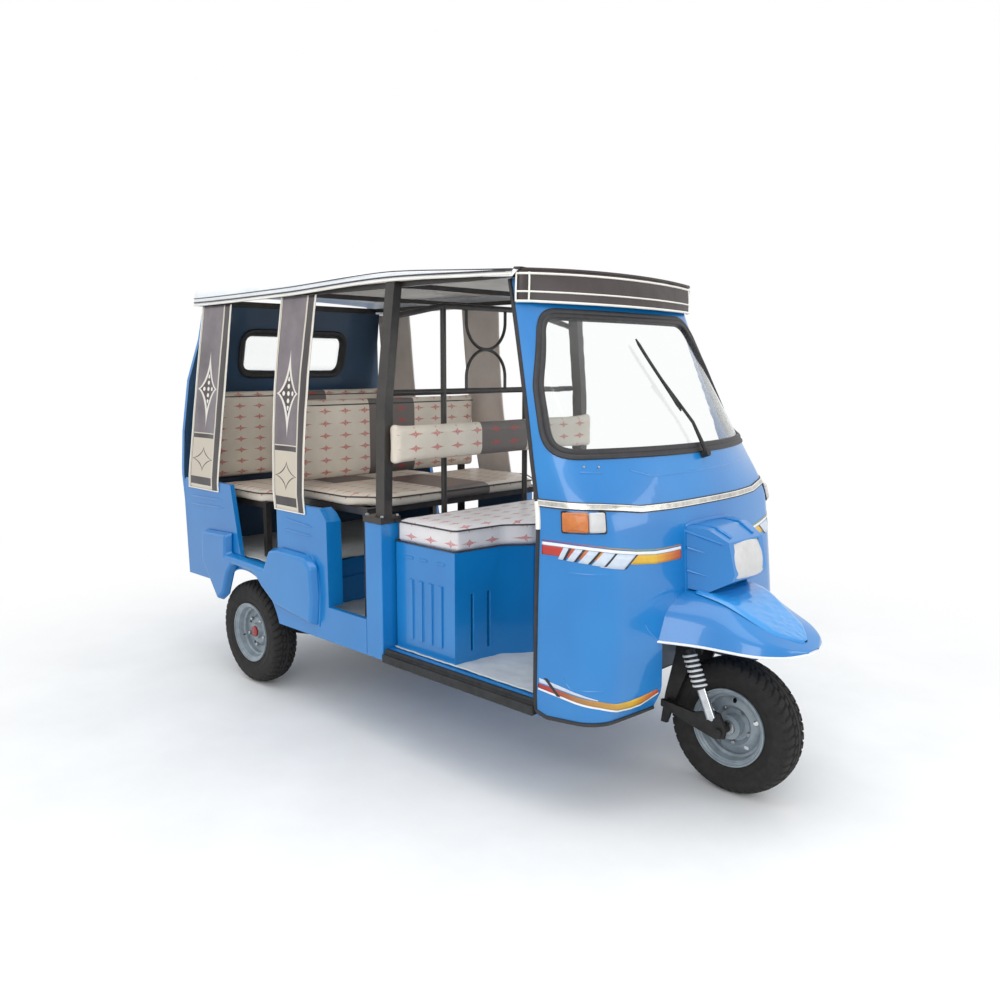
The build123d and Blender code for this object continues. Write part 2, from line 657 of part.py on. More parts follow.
def partition_grille():
    """Rails, uprights and the pair of facing bows behind the driver."""
    x = FRAME_X
    grille = None
    paths = [
        [(x, -556, 1695), (x, -250, 1757), (x, 250, 1757), (x, 556, 1695)],
        [(x, -250, 1757), (x, -250, FLOOR_LOW + MAT + SEAT_GAP)],
        [(x, 250, 1757), (x, 250, FLOOR_LOW + MAT + SEAT_GAP)],
        [(x, -574, 1406), (x, 574, 1406)],
    ]
    for path in paths:
        piece = bent_rod(path, TUBE_R) if len(path) > 2 else rod(path[0], path[1], TUBE_R)
        grille = piece if grille is None else grille + piece
    for rail_z, direction in ((1757, -1), (1406, 1)):
        grille += bow(x, rail_z, direction)
    return grille


def bow(x, rail_z, direction):
    """U of bar standing on a rail: two legs and a half circle."""
    half, reach, r = 118.0, 175.0, 7.0
    bend = rail_z + direction * (reach - half)
    piece = rod((x, -half, rail_z), (x, -half, bend), r) + rod((x, half, rail_z), (x, half, bend), r)
    ring = Pos(x, 0, bend) * Rot(0, 90, 0) * Torus(half, r)
    z0, z1 = sorted((bend, bend + direction * 200))
    return piece + (ring & block(x - 20, x + 20, -200, 200, z0, z1))


# ---------------------------------------------------------------- canopy
# columns: X, half width, lower edge, top of the side, crown
ROOF_SECTIONS = [
    (REAR_END + 43, 548, 1806, 1846, 1862),
    (REAR_END + 90, ROOF_HALF, 1803, 1886, 1904),
    (250, ROOF_HALF, 1812, 1880, 1906),
    (POST_X[0] + 15, ROOF_HALF, 1834, 1872, 1896),
    (DOOR_X - 370, 556, 1824, 1850, 1872),
    (DOOR_X - 60, 548, 1816, 1834, 1846),
]


def roof_section(row, inset, dx=0.0):
    """Closed slice of the canopy at one X."""
    x, half, low, side, crown = row
    half -= inset
    side -= inset
    crown -= inset
    low -= inset
    bottom = Line((x + dx, -half, low), (x + dx, half, low))
    right = Line((x + dx, half, low), (x + dx, half, side))
    top = ThreePointArc((x + dx, half, side), (x + dx, 0, crown), (x + dx, -half, side))
    left = Line((x + dx, -half, side), (x + dx, -half, low))
    return make_face([bottom, right, top, left])


def roof_body(inset):
    rows = ROOF_SECTIONS
    ends = {0: inset, len(rows) - 1: 0.0}
    return loft([roof_section(row, inset, ends.get(i, 0.0)) for i, row in enumerate(rows)], ruled=True)


# columns as in the cowl's table
VISOR_LOW = (COWL_TOP + 3, -290, 550, -182, 545, -90, 60)
VISOR_HIGH = (1822, -290, 550, -188, 545, -112, 60)
VISOR_BACK = DOOR_X - 246.0


def visor_body(inset):
    """Bowed front of the canopy between two heights."""
    low = cowl_section(VISOR_LOW, inset, 60, -8.0 if inset else 0.0)
    high = cowl_section(VISOR_HIGH, inset, 60, 8.0 if inset else 0.0)
    return loft([low, high], ruled=True)


def canopy_visor():
    shell = visor_body(0) - visor_body(8)
    return shell - block(VISOR_BACK - 600, VISOR_BACK, -700, 700, 1600, 1900)


def canopy_top():
    shell = roof_body(0) - roof_body(ROOF_SKIN)
    outline = extrude(cowl_section(VISOR_HIGH, 0, 60, 0.0), amount=80)
    keep = outline + block(REAR_END - 50, VISOR_BACK, -600, 600, 1700, 2000)
    return shell & keep - block(VISOR_BACK, FRONT_END, -700, 700, 1700, VISOR_HIGH[0] + SEAT_GAP)


# columns: X of the top edge, X of the bottom edge, top and bottom height
CURTAIN_STRIPS = [
    ((-462, -190), (-505, -215), 1797, 905),
    ((255, 520), (215, 470), 1808, 885),
]


def curtain(strip):
    """Flat hanging strip following the side's lean."""
    top, bottom, z_top, z_low = strip
    y_top = ROOF_HALF - ROOF_SKIN - SEAT_GAP - CURTAIN
    y_low = HALF_W + SEAT_GAP
    outline = [(bottom[0], z_low), (bottom[1], z_low), (top[1], z_top), (top[0], z_top)]
    sheet = side_plate(outline, 400, 700)
    fold = QUARTER_Z + 8
    slope = [(y_low + CURTAIN, fold), (y_top + CURTAIN, z_top), (y_top, z_top), (y_low, fold)]
    lean = front_plate([(y_low, z_low), (y_low + CURTAIN, z_low)] + slope, -700, 700)
    return sheet & lean


# ---------------------------------------------------------------- seats
def driver_seat_box():
    """Moulded seat base with side ribs, an arched panel and vent slots."""
    plan = [(1048, -577), (1387, -577), (1412, -348), (1489, -254), (1489, 254), (1412, 348), (1387, 577), (1048, 577)]
    inner = [(1060, -563), (1375, -563), (1398, -340), (1475, -246), (1475, 246), (1398, 340), (1375, 563), (1060, 563)]
    low = FLOOR_LOW + MAT + SEAT_GAP
    base = plan_plate(plan, low, 826) - plan_plate(inner, low - 10, 812)
    for side in (-1, 1):
        for x in (1130, 1186, 1242, 1298):
            base += block(x, x + 22, min(side * 575, side * 584), max(side * 575, side * 584), 450, 690)
        for x in (1110, 1190, 1290):
            base += block(x, x + 42, min(side * 575, side * 581), max(side * 575, side * 581), 770, 780)
        y = side * 455
        base -= block(1300, 1420, y - 46, y - 34, 440, 660)
        base -= block(1300, 1420, y + 34, y + 46, 440, 660)
    return base


def driver_cushion():
    plan = [(1048, -580), (1392, -580), (1418, -350), (1494, -256), (1494, 256), (1418, 350), (1392, 580), (1048, 580)]
    return plan_plate(plan, 826.3, 920)


def bench_plan(x0, x1, chamfer):
    """Bench outline with its front corners cut off."""
    w = 566
    y = w - chamfer * 0.75
    return [(x0, -w), (x1 - chamfer, -w), (x1, -y), (x1, y), (x1 - chamfer, w), (x0, w)]


BENCH_TUBE = 28.0          # square tube
BENCH_HALF = 540.0


def bench_frame(x0, x1, z_back_floor, z_floor, z_top, rows):
    """Square tube stand: a rim on four legs, and a back of two uprights and cross rails."""
    t = BENCH_TUBE
    w = BENCH_HALF
    stand = block(x0, x1, -w, w, z_top - t, z_top) - block(x0 + t, x1 - t, t - w, w - t, z_top - 40, z_top + 10)
    for y in (-w, w - t):
        stand += block(x0, x0 + t, y, y + t, z_back_floor, rows[-1] + t)
        stand += block(x1 - t, x1, y, y + t, z_floor, z_top)
    for z in rows:
        stand += block(x0, x0 + t, -w, w, z, z + t)
    return stand


# ---------------------------------------------------------------- build and save
def build_front():
    save("front_cowl", front_cowl())
    save("wiper", wiper())
    save("headlamp_housing", headlamp_housing())
    save("headlamp_lens", headlamp_lens())
    save("front_fender", front_fender())
    save("indicator_lamps", both_sides(indicator(DOOR_X + 56, DOOR_X + 166)))
    save("front_footwell", front_footwell())


def build_rear():
    save("side_panels", both_sides(side_panel()))
    save("wheel_flares", both_sides(wheel_flare()))
    save("door_post_boxes", both_sides(door_post_box()))
    save("rear_wall", rear_wall())
    save("window_gaskets", [windshield_gasket(), rear_window_gasket()])
    save("window_glass", [windshield_glass(), rear_window_glass()])
    save("tail_lamps", both_sides(block(-592, -550, 470, 560, 700, 800) - wall_layer(SEAT_GAP, PANEL)))


def build_chassis():
    save("floor_pan", floor_pan())
    mats = [block(STEP_X + 20, 1046, -600, 600, FLOOR_LOW + 0.3, FLOOR_LOW + MAT) - post_spaces()]
    mats.append(block(-520, STEP_X - 4, -600, 600, FLOOR_HIGH + 0.3, FLOOR_HIGH + MAT))
    mats.append(block(1046.3, 1840, -590, 590, FLOOR_LOW + 0.3, FLOOR_LOW + MAT))
    save("floor_mats", mats)
    save("chassis_frame", [chassis_frame(), steering_head()])
    save("step_boards", both_sides(step_board()))
    save("engine_block", engine_block())
    save("half_shafts", both_sides(half_shaft()))
    save("trailing_arms", both_sides(trailing_arm()))
    save("rear_springs", both_sides(rear_spring()))


def build_cabin():
    save("cabin_frame", cabin_posts())
    save("partition_grille", partition_grille())
    save("canopy_top", canopy_top())
    save("canopy_visor", canopy_visor())
    strips = []
    for strip in CURTAIN_STRIPS:
        strips += both_sides(curtain(strip))
    save("side_curtains", strips)


def build_seats():
    save("driver_seat_box", driver_seat_box())
    save("driver_seat_cushion", driver_cushion())
    save("driver_backrest", block(POST_X[1] + SEAT_GAP, 1088, -612, 612, 1128, 1295))
    floor = FLOOR_LOW + MAT + SEAT_GAP
    deck = FLOOR_HIGH + MAT + SEAT_GAP
    save("middle_bench_frame", bench_frame(240, 820, deck, floor, 925.7, (1010, 1300)))
    save("rear_bench_frame", bench_frame(-520, 40, deck, deck, 868.7, (980, 1330)))
    cushions = [plan_plate(bench_plan(322.3, 871, 170), 926, 976), plan_plate(bench_plan(-424.7, 75, 60), 869, 922)]
    save("bench_cushions", cushions)
    save("bench_backrests", [block(268.3, 322, -566, 566, 980, 1372), block(-491.7, -425, -560, 560, 930, 1392)])


def build_wheels():
    front = Pos(WHEELBASE, 0, TYRE_R)
    save("front_tyre", front * tyre())
    save("front_rim", front * rim(0, -48, 48, HUB_BORE_R + AXLE_CLEAR))
    for name, side in (("left", 1), ("right", -1)):
        spot = Pos(0, side * TRACK / 2, TYRE_R)
        wheel = rim(12, -28, 26, HUB_BORE_R + AXLE_CLEAR)
        save("rear_tyre_" + name, spot * tyre())
        save("rear_rim_" + name, spot * (wheel if side > 0 else mirror(wheel, Plane.XZ)))


def build_steering():
    save("handlebar", handlebar())
    save("instrument_pod", instrument_pod())
    save("front_fork", front_fork())
    save("front_links", front_axle())
    save("shock_bodies", both_sides(shock("body")))
    save("shock_springs", both_sides(shock("spring")))


build_front()
build_rear()
build_chassis()
build_cabin()
build_seats()
build_wheels()
build_steering()
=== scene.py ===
# %% [markdown]
# # A three-wheeled passenger auto rickshaw
# The rigid parts come in as a fixed frame, already in their real places and sizes. This file
# gives them their finishes and builds what a rigid model can't show: the smooth painted skins,
# rubber and piping, the sewn vinyl of the roof and seats, the tyres' tread and the lamps.

# %% Load the fixed frame
import bisect
import json
import math

import bmesh
import bpy
from mathutils import Matrix, Vector, noise

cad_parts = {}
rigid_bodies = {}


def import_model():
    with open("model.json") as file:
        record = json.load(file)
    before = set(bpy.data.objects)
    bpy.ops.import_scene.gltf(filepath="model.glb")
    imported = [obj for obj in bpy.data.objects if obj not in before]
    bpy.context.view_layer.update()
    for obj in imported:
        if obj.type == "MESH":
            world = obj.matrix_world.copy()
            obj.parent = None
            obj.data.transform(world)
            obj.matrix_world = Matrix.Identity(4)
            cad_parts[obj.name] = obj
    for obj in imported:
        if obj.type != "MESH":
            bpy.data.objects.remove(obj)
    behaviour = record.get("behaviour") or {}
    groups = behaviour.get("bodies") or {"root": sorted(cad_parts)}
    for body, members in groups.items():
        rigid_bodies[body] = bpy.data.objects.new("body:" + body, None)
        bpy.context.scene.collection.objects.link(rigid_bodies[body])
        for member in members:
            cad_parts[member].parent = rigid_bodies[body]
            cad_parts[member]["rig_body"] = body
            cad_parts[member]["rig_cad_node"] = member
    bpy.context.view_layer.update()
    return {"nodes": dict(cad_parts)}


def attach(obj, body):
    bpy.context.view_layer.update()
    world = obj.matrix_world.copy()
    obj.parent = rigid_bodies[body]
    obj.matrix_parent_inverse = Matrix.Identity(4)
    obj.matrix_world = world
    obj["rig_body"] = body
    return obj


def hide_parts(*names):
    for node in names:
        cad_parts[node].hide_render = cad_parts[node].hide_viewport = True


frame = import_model()
nodes = frame["nodes"]

# %% [markdown]
# ## Units and small tools
# A vehicle builder measures from the rear axle in millimetres: X forward, Y to the left, Z up
# from the ground. `at` turns such a point into the scene's metres, whose origin is the middle
# of the vehicle on the ground. Every table below is written in those millimetres.

# %% Millimetres from the rear axle to scene metres
MID_X = 962.5          # the scene's origin, measured from the rear axle
WHEELBASE = 2242.0
TRACK = 1142.0
TYRE_R = 246.0
HALF_W = 640.0         # outer plane of the body's sides


def at(x, y, z):
    """A point in the scene's metres."""
    return Vector(((x - MID_X) / 1000, y / 1000, z / 1000))


print("front axle at x =", round(at(WHEELBASE, 0, 0).x, 4), "m")

# %% [markdown]
# A table of a few rows often describes a long shape, such as the roof's width at six stations.
# Straight lines between rows would show as kinks, so `row_at` joins them with cubic curves
# whose slopes are limited, which keeps the curve from swinging past a row.

# %% A smooth row between the rows of a table
def row_at(table, key):
    """The table's row at a key between its rows."""
    keys = [row[0] for row in table]
    key = min(max(key, keys[0]), keys[-1])
    i = min(max(bisect.bisect_right(keys, key) - 1, 0), len(keys) - 2)
    h = keys[i + 1] - keys[i]
    u = (key - keys[i]) / h
    row = [key]
    for c in range(1, len(table[0])):
        steps = [(table[j + 1][c] - table[j][c]) / (keys[j + 1] - keys[j]) for j in range(len(keys) - 1)]

        def slope(j):
            if j == 0 or j == len(keys) - 1:
                return steps[0] if j == 0 else steps[-1]
            a, b = steps[j - 1], steps[j]
            return 0 if a * b <= 0 else 2 * a * b / (a + b)

        p, q = table[i][c], table[i + 1][c]
        row.append((2 * u**3 - 3 * u**2 + 1) * p + (u**3 - 2 * u**2 + u) * h * slope(i)
                   + (3 * u**2 - 2 * u**3) * q + (u**3 - u**2) * h * slope(i + 1))
    return row


print("between two rows:", row_at([(0, 1), (10, 3)], 5))

# %% [markdown]
# ## Shapes from points
# Nearly everything here is one of three forms: a skin of quads over rows of points, a round bar
# that follows a path, or a turned profile. Each helper returns plain points and faces, so that
# several can be joined into one named piece, as a welder joins bars into one frame.

# %% Skins and solids
def skin(rows, closed=False, loop=False):
    """Quads over rows of points; closed joins each row's ends, loop joins last row to first."""
    wide = len(rows[0])
    points = [Vector(p) for row in rows for p in row]
    faces = []
    for r in range(len(rows) if loop else len(rows) - 1):
        for c in range(wide if closed else wide - 1):
            a, b = r * wide + c, r * wide + (c + 1) % wide
            below = ((r + 1) % len(rows)) * wide
            faces.append((a, b, below + (c + 1) % wide, below + c))
    return points, faces


def capped(part, wide):
    """Close both ends of a skin whose rows are rings."""
    points, faces = part
    count = len(points)
    return points, faces + [tuple(reversed(range(wide))), tuple(range(count - wide, count))]


def solid(rows):
    """Closed solid over rows of rings."""
    return capped(skin(rows, closed=True), len(rows[0]))


def mirrored(points):
    """The points on the other side, in the order that carries a symmetric line on."""
    return [(-a, b) for a, b in reversed(points)]


def soft_levels(low, high, soft):
    """Levels of a block between its ends, with how far each is drawn in to round the ends' edges."""
    near = [(low, soft), (low + soft * 0.3, soft * 0.3), (low + soft, 0)]
    return near + [(low + high - level, inset) for level, inset in reversed(near)]


print("a skin of 2 x 3 points has", len(skin([[(0, 0, 0)] * 3] * 2)[1]), "faces")

# %% [markdown]
# A bar is a ring carried along a path. The ring turns only as far as the path does, so the bar
# isn't twisted. `rounded_path` gives a path soft corners, as a tube bender does.

# %% Bars along a path
def rings_along(path, ring_at, closed=False):
    """Rows of points carried along a path without twist; ring_at(i) gives (sideways, up) offsets."""
    path = [Vector(p) for p in path]
    count = len(path)
    rows, up = [], None
    for i, p in enumerate(path):
        before = path[i - 1] if (i or closed) else path[0]
        after = path[(i + 1) % count] if (closed or i < count - 1) else path[-1]
        along = (after - before).normalized()
        if up is None:
            up = along.orthogonal().normalized()
        up = (up - along * up.dot(along)).normalized()
        side = along.cross(up)
        rows.append([p + side * a + up * b for a, b in ring_at(i)])
    return rows


def bar(path, radius, sides=10, closed=False):
    """Round bar along points in millimetres from the rear axle; radius may vary from point to point."""
    radii = radius if isinstance(radius, (list, tuple)) else [radius] * len(path)

    def ring_at(i):
        r = radii[i] / 1000
        return [(r * math.cos(2 * math.pi * k / sides), r * math.sin(2 * math.pi * k / sides))
                for k in range(sides)]

    rows = rings_along([at(*p) for p in path], ring_at, closed)
    part = skin(rows, closed=True, loop=closed)
    return part if closed else capped(part, sides)


def rounded_path(points, radius, steps=6):
    """The points with every corner rounded by a curve."""
    points = [Vector(p) for p in points]
    path = [points[0]]
    for a, b, c in zip(points, points[1:], points[2:]):
        reach = min(radius, (a - b).length / 2.02, (c - b).length / 2.02)
        start, end = b + (a - b).normalized() * reach, b + (c - b).normalized() * reach
        path += [start.lerp(b, t).lerp(b.lerp(end, t), t) for t in (k / steps for k in range(steps + 1))]
    return path + [points[-1]]


print("a round bar of two points has", len(bar([(0, 0, 0), (100, 0, 0)], 5)[1]), "faces")

# %% [markdown]
# Nuts, caps and lamp bowls are turned on a lathe or spun: a profile goes round an axis. A block
# has its edges drawn in by `soft_levels`, since no real edge is a knife's.

# %% Turned forms and blocks
def turned(profile, centre, axis="Y", sides=48, closed=True):
    """Profile of (along, radius) in millimetres turned about an axis through a centre."""
    rows = []
    for k in range(sides):
        angle = 2 * math.pi * k / sides
        ca, sa = math.cos(angle), math.sin(angle)
        row = []
        for along, r in profile:
            offset = {"Y": (r * ca, along, r * sa), "X": (along, r * ca, r * sa),
                      "Z": (r * ca, r * sa, along)}[axis]
            row.append(at(*(centre[i] + offset[i] for i in range(3))))
        rows.append(row)
    return skin(rows, closed=closed, loop=True)


def slab(low, high, soft=2.0, axis=2):
    """Block with softened edges between two corners, its long axis named by number."""
    low, high = Vector(low), Vector(high)
    a, b = [i for i in range(3) if i != axis]
    soft = min(soft, (high[a] - low[a]) / 2.1, (high[b] - low[b]) / 2.1, (high[axis] - low[axis]) / 2.1)
    rows = []
    corners = ((high[a], high[b], 0), (low[a], high[b], 1), (low[a], low[b], 2), (high[a], low[b], 3))
    for level, inset in soft_levels(low[axis], high[axis], soft):
        ring = []
        for ca, cb, start in corners:
            sa = -1 if ca == high[a] else 1
            sb = -1 if cb == high[b] else 1
            for k in range(4):
                angle = math.pi / 2 * (start + k / 3)
                p = [0, 0, 0]
                p[a] = ca + sa * (soft + inset * 0.6) + soft * math.cos(angle)
                p[b] = cb + sb * (soft + inset * 0.6) + soft * math.sin(angle)
                p[axis] = level
                ring.append(at(*p))
        rows.append(ring)
    return solid(rows)


print("a block has", len(slab((0, 0, 0), (10, 10, 10))[1]), "faces")

# %% [markdown]
# `piece` makes one named object of such parts. It turns all faces outwards, shades gentle bends
# smooth and keeps sharp corners crisp, and makes the object ride on the rigid body that
# carries the real thing.

# %% One named object from its parts
def piece(name, parts, body="chassis", finish=None, sharp=38, stands_for=(), slot=None):
    """A named object of parts (points, faces, number of its finish) that rides on a body."""
    mesh = bpy.data.meshes.new(name)
    obj = bpy.data.objects.new(name, mesh)
    bpy.context.scene.collection.objects.link(obj)
    finishes = finish if isinstance(finish, (list, tuple)) else [finish]
    for material in finishes:
        mesh.materials.append(material)
    points, faces, numbers = [], [], []
    for part in parts:
        start = len(points)
        points += part[0]
        faces += [tuple(start + i for i in face) for face in part[1]]
        numbers += [part[2] if len(part) > 2 else 0] * len(part[1])
    mesh.from_pydata([tuple(p) for p in points], [], faces)
    mesh.polygons.foreach_set("material_index", numbers)
    tidy_mesh(mesh, sharp)
    print(name, "with", len(mesh.polygons), "faces")
    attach(obj, body)
    if stands_for:
        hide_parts(*([stands_for] if isinstance(stands_for, str) else stands_for))
    return obj


def tidy_mesh(mesh, sharp=38, weld=0.00002):
    """Weld, turn the faces outwards, and shade all smooth but the edges sharper than an angle."""
    bm = bmesh.new()
    bm.from_mesh(mesh)
    bmesh.ops.remove_doubles(bm, verts=bm.verts, dist=weld)
    bmesh.ops.recalc_face_normals(bm, faces=bm.faces)
    bm.to_mesh(mesh)
    bm.free()
    mesh.shade_smooth()
    mesh.set_sharp_from_angle(angle=math.radians(sharp))


def applied(obj):
    """Bake an object's modifiers into its mesh."""
    bpy.context.view_layer.update()
    shape = obj.evaluated_get(bpy.context.evaluated_depsgraph_get())
    mesh = bpy.data.meshes.new_from_object(shape)
    obj.modifiers.clear()
    obj.data = mesh
    return obj


def thickened(obj, thick_mm, offset, even=False):
    """Give an open skin its thickness; offset -1 is inwards, 0 is to both sides."""
    wall = obj.modifiers.new("wall", "SOLIDIFY")
    wall.thickness, wall.offset, wall.use_even_offset = thick_mm / 1000, offset, even
    return applied(obj)


print("sharp edges are kept from 38 degrees on")

# %% [markdown]
# Sheet metal and moulded boxes never have knife edges: a press or a mould rounds them by a few
# millimetres, and that thin band is what catches the light. `softened` copies a rigid node,
# merges its flat triangles back into whole faces, rounds its edges with a bevel, and lets the
# copy stand for the node.

# %% A rigid node with rounded edges
def softened(node, width_mm, finish, body="chassis", name=None, segments=3, angle=35):
    obj = nodes[node].copy()
    obj.data = nodes[node].data.copy()
    obj.name = name or node + "_soft"
    obj.parent = None
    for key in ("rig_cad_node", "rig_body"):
        if key in obj:
            del obj[key]
    bpy.context.scene.collection.objects.link(obj)
    bm = bmesh.new()
    bm.from_mesh(obj.data)
    bmesh.ops.remove_doubles(bm, verts=bm.verts, dist=0.00005)
    bmesh.ops.dissolve_limit(bm, angle_limit=math.radians(1.5), verts=bm.verts, edges=bm.edges)
    bm.to_mesh(obj.data)
    bm.free()
    obj.data.materials.clear()
    for material in finish if isinstance(finish, (list, tuple)) else [finish]:
        obj.data.materials.append(material)
    bevel = obj.modifiers.new("rounded", "BEVEL")
    bevel.width = width_mm / 1000
    bevel.segments = segments
    bevel.limit_method = "ANGLE"
    bevel.angle_limit = math.radians(angle)
    bevel.use_clamp_overlap = True
    obj.data.shade_smooth()
    weighted = obj.modifiers.new("flat faces", "WEIGHTED_NORMAL")
    weighted.keep_sharp = True
    applied(obj)
    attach(obj, body)
    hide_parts(node)
    return obj


print("rigid nodes with faces", sum(obj.type == "MESH" for obj in nodes.values()))

# %% [markdown]
# ## Finishes
# A finish is built from what the real surface is. One function adds a node with its settings
# and links, and another turns a colour written as on a paint chart into linear light.

# %% Colours and nodes
def colour(chart):
    """sRGB hex to linear RGBA."""
    parts = [int(chart[i:i + 2], 16) / 255 for i in (1, 3, 5)]
    return [c / 12.92 if c <= 0.04045 else ((c + 0.055) / 1.055) ** 2.4 for c in parts] + [1.0]


def add(tree, kind, sockets=None, **settings):
    """Add a node; sockets maps an input's name or number to a value, an output or a node (its first)."""
    node = tree.nodes.new(kind)
    for name, value in settings.items():
        setattr(node, name, value)
    for name, value in (sockets or {}).items():
        if isinstance(value, bpy.types.Node):
            value = value.outputs[0]
        if isinstance(value, bpy.types.NodeSocket):
            tree.links.new(value, node.inputs[name])
        else:
            node.inputs[name].default_value = value
    return node


def new_finish(name, chart, **shader_values):
    """Material, its tree and its main shader, with plain values set on the shader's sockets."""
    material = bpy.data.materials.new(name)
    material.use_nodes = True
    tree = material.node_tree
    shader = tree.nodes["Principled BSDF"]
    shader.inputs["Base Color"].default_value = colour(chart)
    material.diffuse_color = colour(chart)
    for socket, value in shader_values.items():
        shader.inputs[socket.replace("_", " ")].default_value = value
    print("finish", name)
    return material, tree, shader


def mottled(tree, shader, dark, light, size_mm, low=0.35, high=0.65, detail=5.0, source=None):
    """Blend two chart colours by a noise of a real size, into the shader or out to be used further."""
    place = source or add(tree, "ShaderNodeTexCoord").outputs["Object"]
    patches = add(tree, "ShaderNodeTexNoise", {"Vector": place, "Scale": 1000 / size_mm, "Detail": detail,
                                               "Roughness": 0.6})
    spread = add(tree, "ShaderNodeMapRange", {"Value": patches.outputs["Fac"],
                                              "From Min": low, "From Max": high})
    mix = add(tree, "ShaderNodeMix", {0: spread.outputs["Result"], 6: colour(dark), 7: colour(light)},
              data_type="RGBA")
    if shader:
        tree.links.new(mix.outputs[2], shader.inputs["Base Color"])
    return mix.outputs[2]


def uneven(tree, shader, size_mm, depth_mm, strength=1.0, detail=3.0, stretch=(1, 1, 1), under=None):
    """Bump from a noise of a real size and depth, on top of another bump if one is given."""
    place = add(tree, "ShaderNodeTexCoord").outputs["Object"]
    sized = add(tree, "ShaderNodeMapping", {"Vector": place, "Scale": stretch})
    waves = add(tree, "ShaderNodeTexNoise", {"Vector": sized.outputs["Vector"], "Scale": 1000 / size_mm,
                                             "Detail": detail})
    sockets = {"Height": waves.outputs["Fac"], "Distance": depth_mm / 1000, "Strength": strength}
    if under:
        sockets["Normal"] = under.outputs["Normal"]
    bump = add(tree, "ShaderNodeBump", sockets)
    tree.links.new(bump.outputs["Normal"], shader.inputs["Normal"])
    return bump


print("mid grey in linear light", round(colour("#808080")[0], 3))

# %% [markdown]
# ### Body enamel
# The body is pressed steel sprayed with a sky-blue gloss enamel under a clear coat. The spray
# leaves a faint ripple, called orange peel, a few millimetres wide, and the colour drifts
# slightly from panel to panel. The clear coat is the shader's own coat layer.

# %% Sky-blue enamel under clear coat
def body_enamel(name, dark, light, roughness=0.32, coat=0.6):
    material, tree, shader = new_finish(name, light, Roughness=roughness, IOR=1.5, Coat_Weight=coat,
                                        Coat_Roughness=0.05)
    mottled(tree, shader, dark, light, 420, 0.3, 0.7, 2)
    peel = uneven(tree, shader, 9, 0.12, 0.5, 1)
    uneven(tree, shader, 160, 1.6, 0.6, 1, under=peel)
    return material


sky_enamel = body_enamel("sky_blue_gloss_enamel", "#0872b8", "#0f7dc3")
# Inward-facing faces get this darker navy copy of the enamel: it paints in the shade that falls inside the
# body.
navy_painted_shade = body_enamel("navy_enamel_with_painted_shade", "#1c3a55", "#254a6b", 0.5, 0.2)
wrapped_enamel = body_enamel("enamel_under_wrinkled_film", "#1a84cc", "#2a92da", 0.28, 0.9)

# %% [markdown]
# ### Dark metals
# Posts, grille and seat stands are steel tube in satin black enamel, which looks brown-grey in
# daylight. The chassis and fork are thicker, duller black with dust in it. Wheels are sprayed
# grey, and the dampers are hard chrome.

# %% Black, grey and bright metals
tube_enamel, tree, shader = new_finish("satin_black_tube_enamel", "#2b2725", Roughness=0.42, IOR=1.5,
                                       Coat_Weight=0.2)
mottled(tree, shader, "#211e1c", "#35302d", 60, 0.3, 0.75)
uneven(tree, shader, 5, 0.08, 0.5)

chassis_enamel, tree, shader = new_finish("dull_black_chassis_enamel", "#1a1919", Roughness=0.6, IOR=1.5)
mottled(tree, shader, "#121111", "#2e2c2a", 38, 0.35, 0.8)
uneven(tree, shader, 4, 0.15, 0.6)

wheel_enamel, tree, shader = new_finish("grey_wheel_enamel", "#8b959c", Roughness=0.38, IOR=1.5,
                                        Coat_Weight=0.3)
mottled(tree, shader, "#77828a", "#98a3aa", 45, 0.3, 0.75)
uneven(tree, shader, 6, 0.1, 0.5)

hard_chrome, tree, shader = new_finish("hard_chrome_plate", "#cfd2d6", Roughness=0.14, Metallic=1.0)
uneven(tree, shader, 20, 0.03, 0.4)
mottled(tree, shader, "#b9bdc2", "#dcdfe2", 25, 0.3, 0.8)

zinc_steel, tree, shader = new_finish("zinc_plated_steel", "#b4b7b8", Roughness=0.34, Metallic=1.0)
mottled(tree, shader, "#8f9294", "#c4c7c9", 9, 0.35, 0.7)
uneven(tree, shader, 2, 0.05, 0.5)

trim_alloy, tree, shader = new_finish("bright_rolled_aluminium", "#c9c6bd", Roughness=0.25, Metallic=0.9)
mottled(tree, shader, "#a9a69c", "#dedbd2", 40, 0.3, 0.7)
uneven(tree, shader, 8, 0.06, 0.5)

cast_alloy, tree, shader = new_finish("sand_cast_aluminium", "#5f6263", Roughness=0.55, Metallic=0.8)
mottled(tree, shader, "#3a3b3c", "#6d7072", 60, 0.3, 0.75)
uneven(tree, shader, 2.5, 0.25, 0.8)

# %% [markdown]
# ### Rubber and plastics
# Window rubber and edge beading are extruded, matt and slightly grey on top from the light they
# scatter. Tyre rubber is duller still and holds dust in its pores. Lamp lenses are moulded
# polycarbonate, clear or tinted right through.

# %% Rubber, tyre and moulded plastics
edge_rubber, tree, shader = new_finish("extruded_edge_rubber", "#232326", Roughness=0.5, IOR=1.52)
mottled(tree, shader, "#1c1c1f", "#2e2d30", 30, 0.3, 0.8)
uneven(tree, shader, 3, 0.06, 0.4)

tyre_rubber, tree, shader = new_finish("moulded_tyre_rubber", "#1c1b19", Roughness=0.8, IOR=1.52)
mottled(tree, shader, "#151413", "#2b2926", 28, 0.42, 0.85, 8)
uneven(tree, shader, 1.6, 0.2, 0.6)

dash_plastic, tree, shader = new_finish("grained_black_plastic", "#202122", Roughness=0.55, IOR=1.46)
mottled(tree, shader, "#191a1b", "#2a2b2c", 30)
uneven(tree, shader, 1.2, 0.1, 0.7)


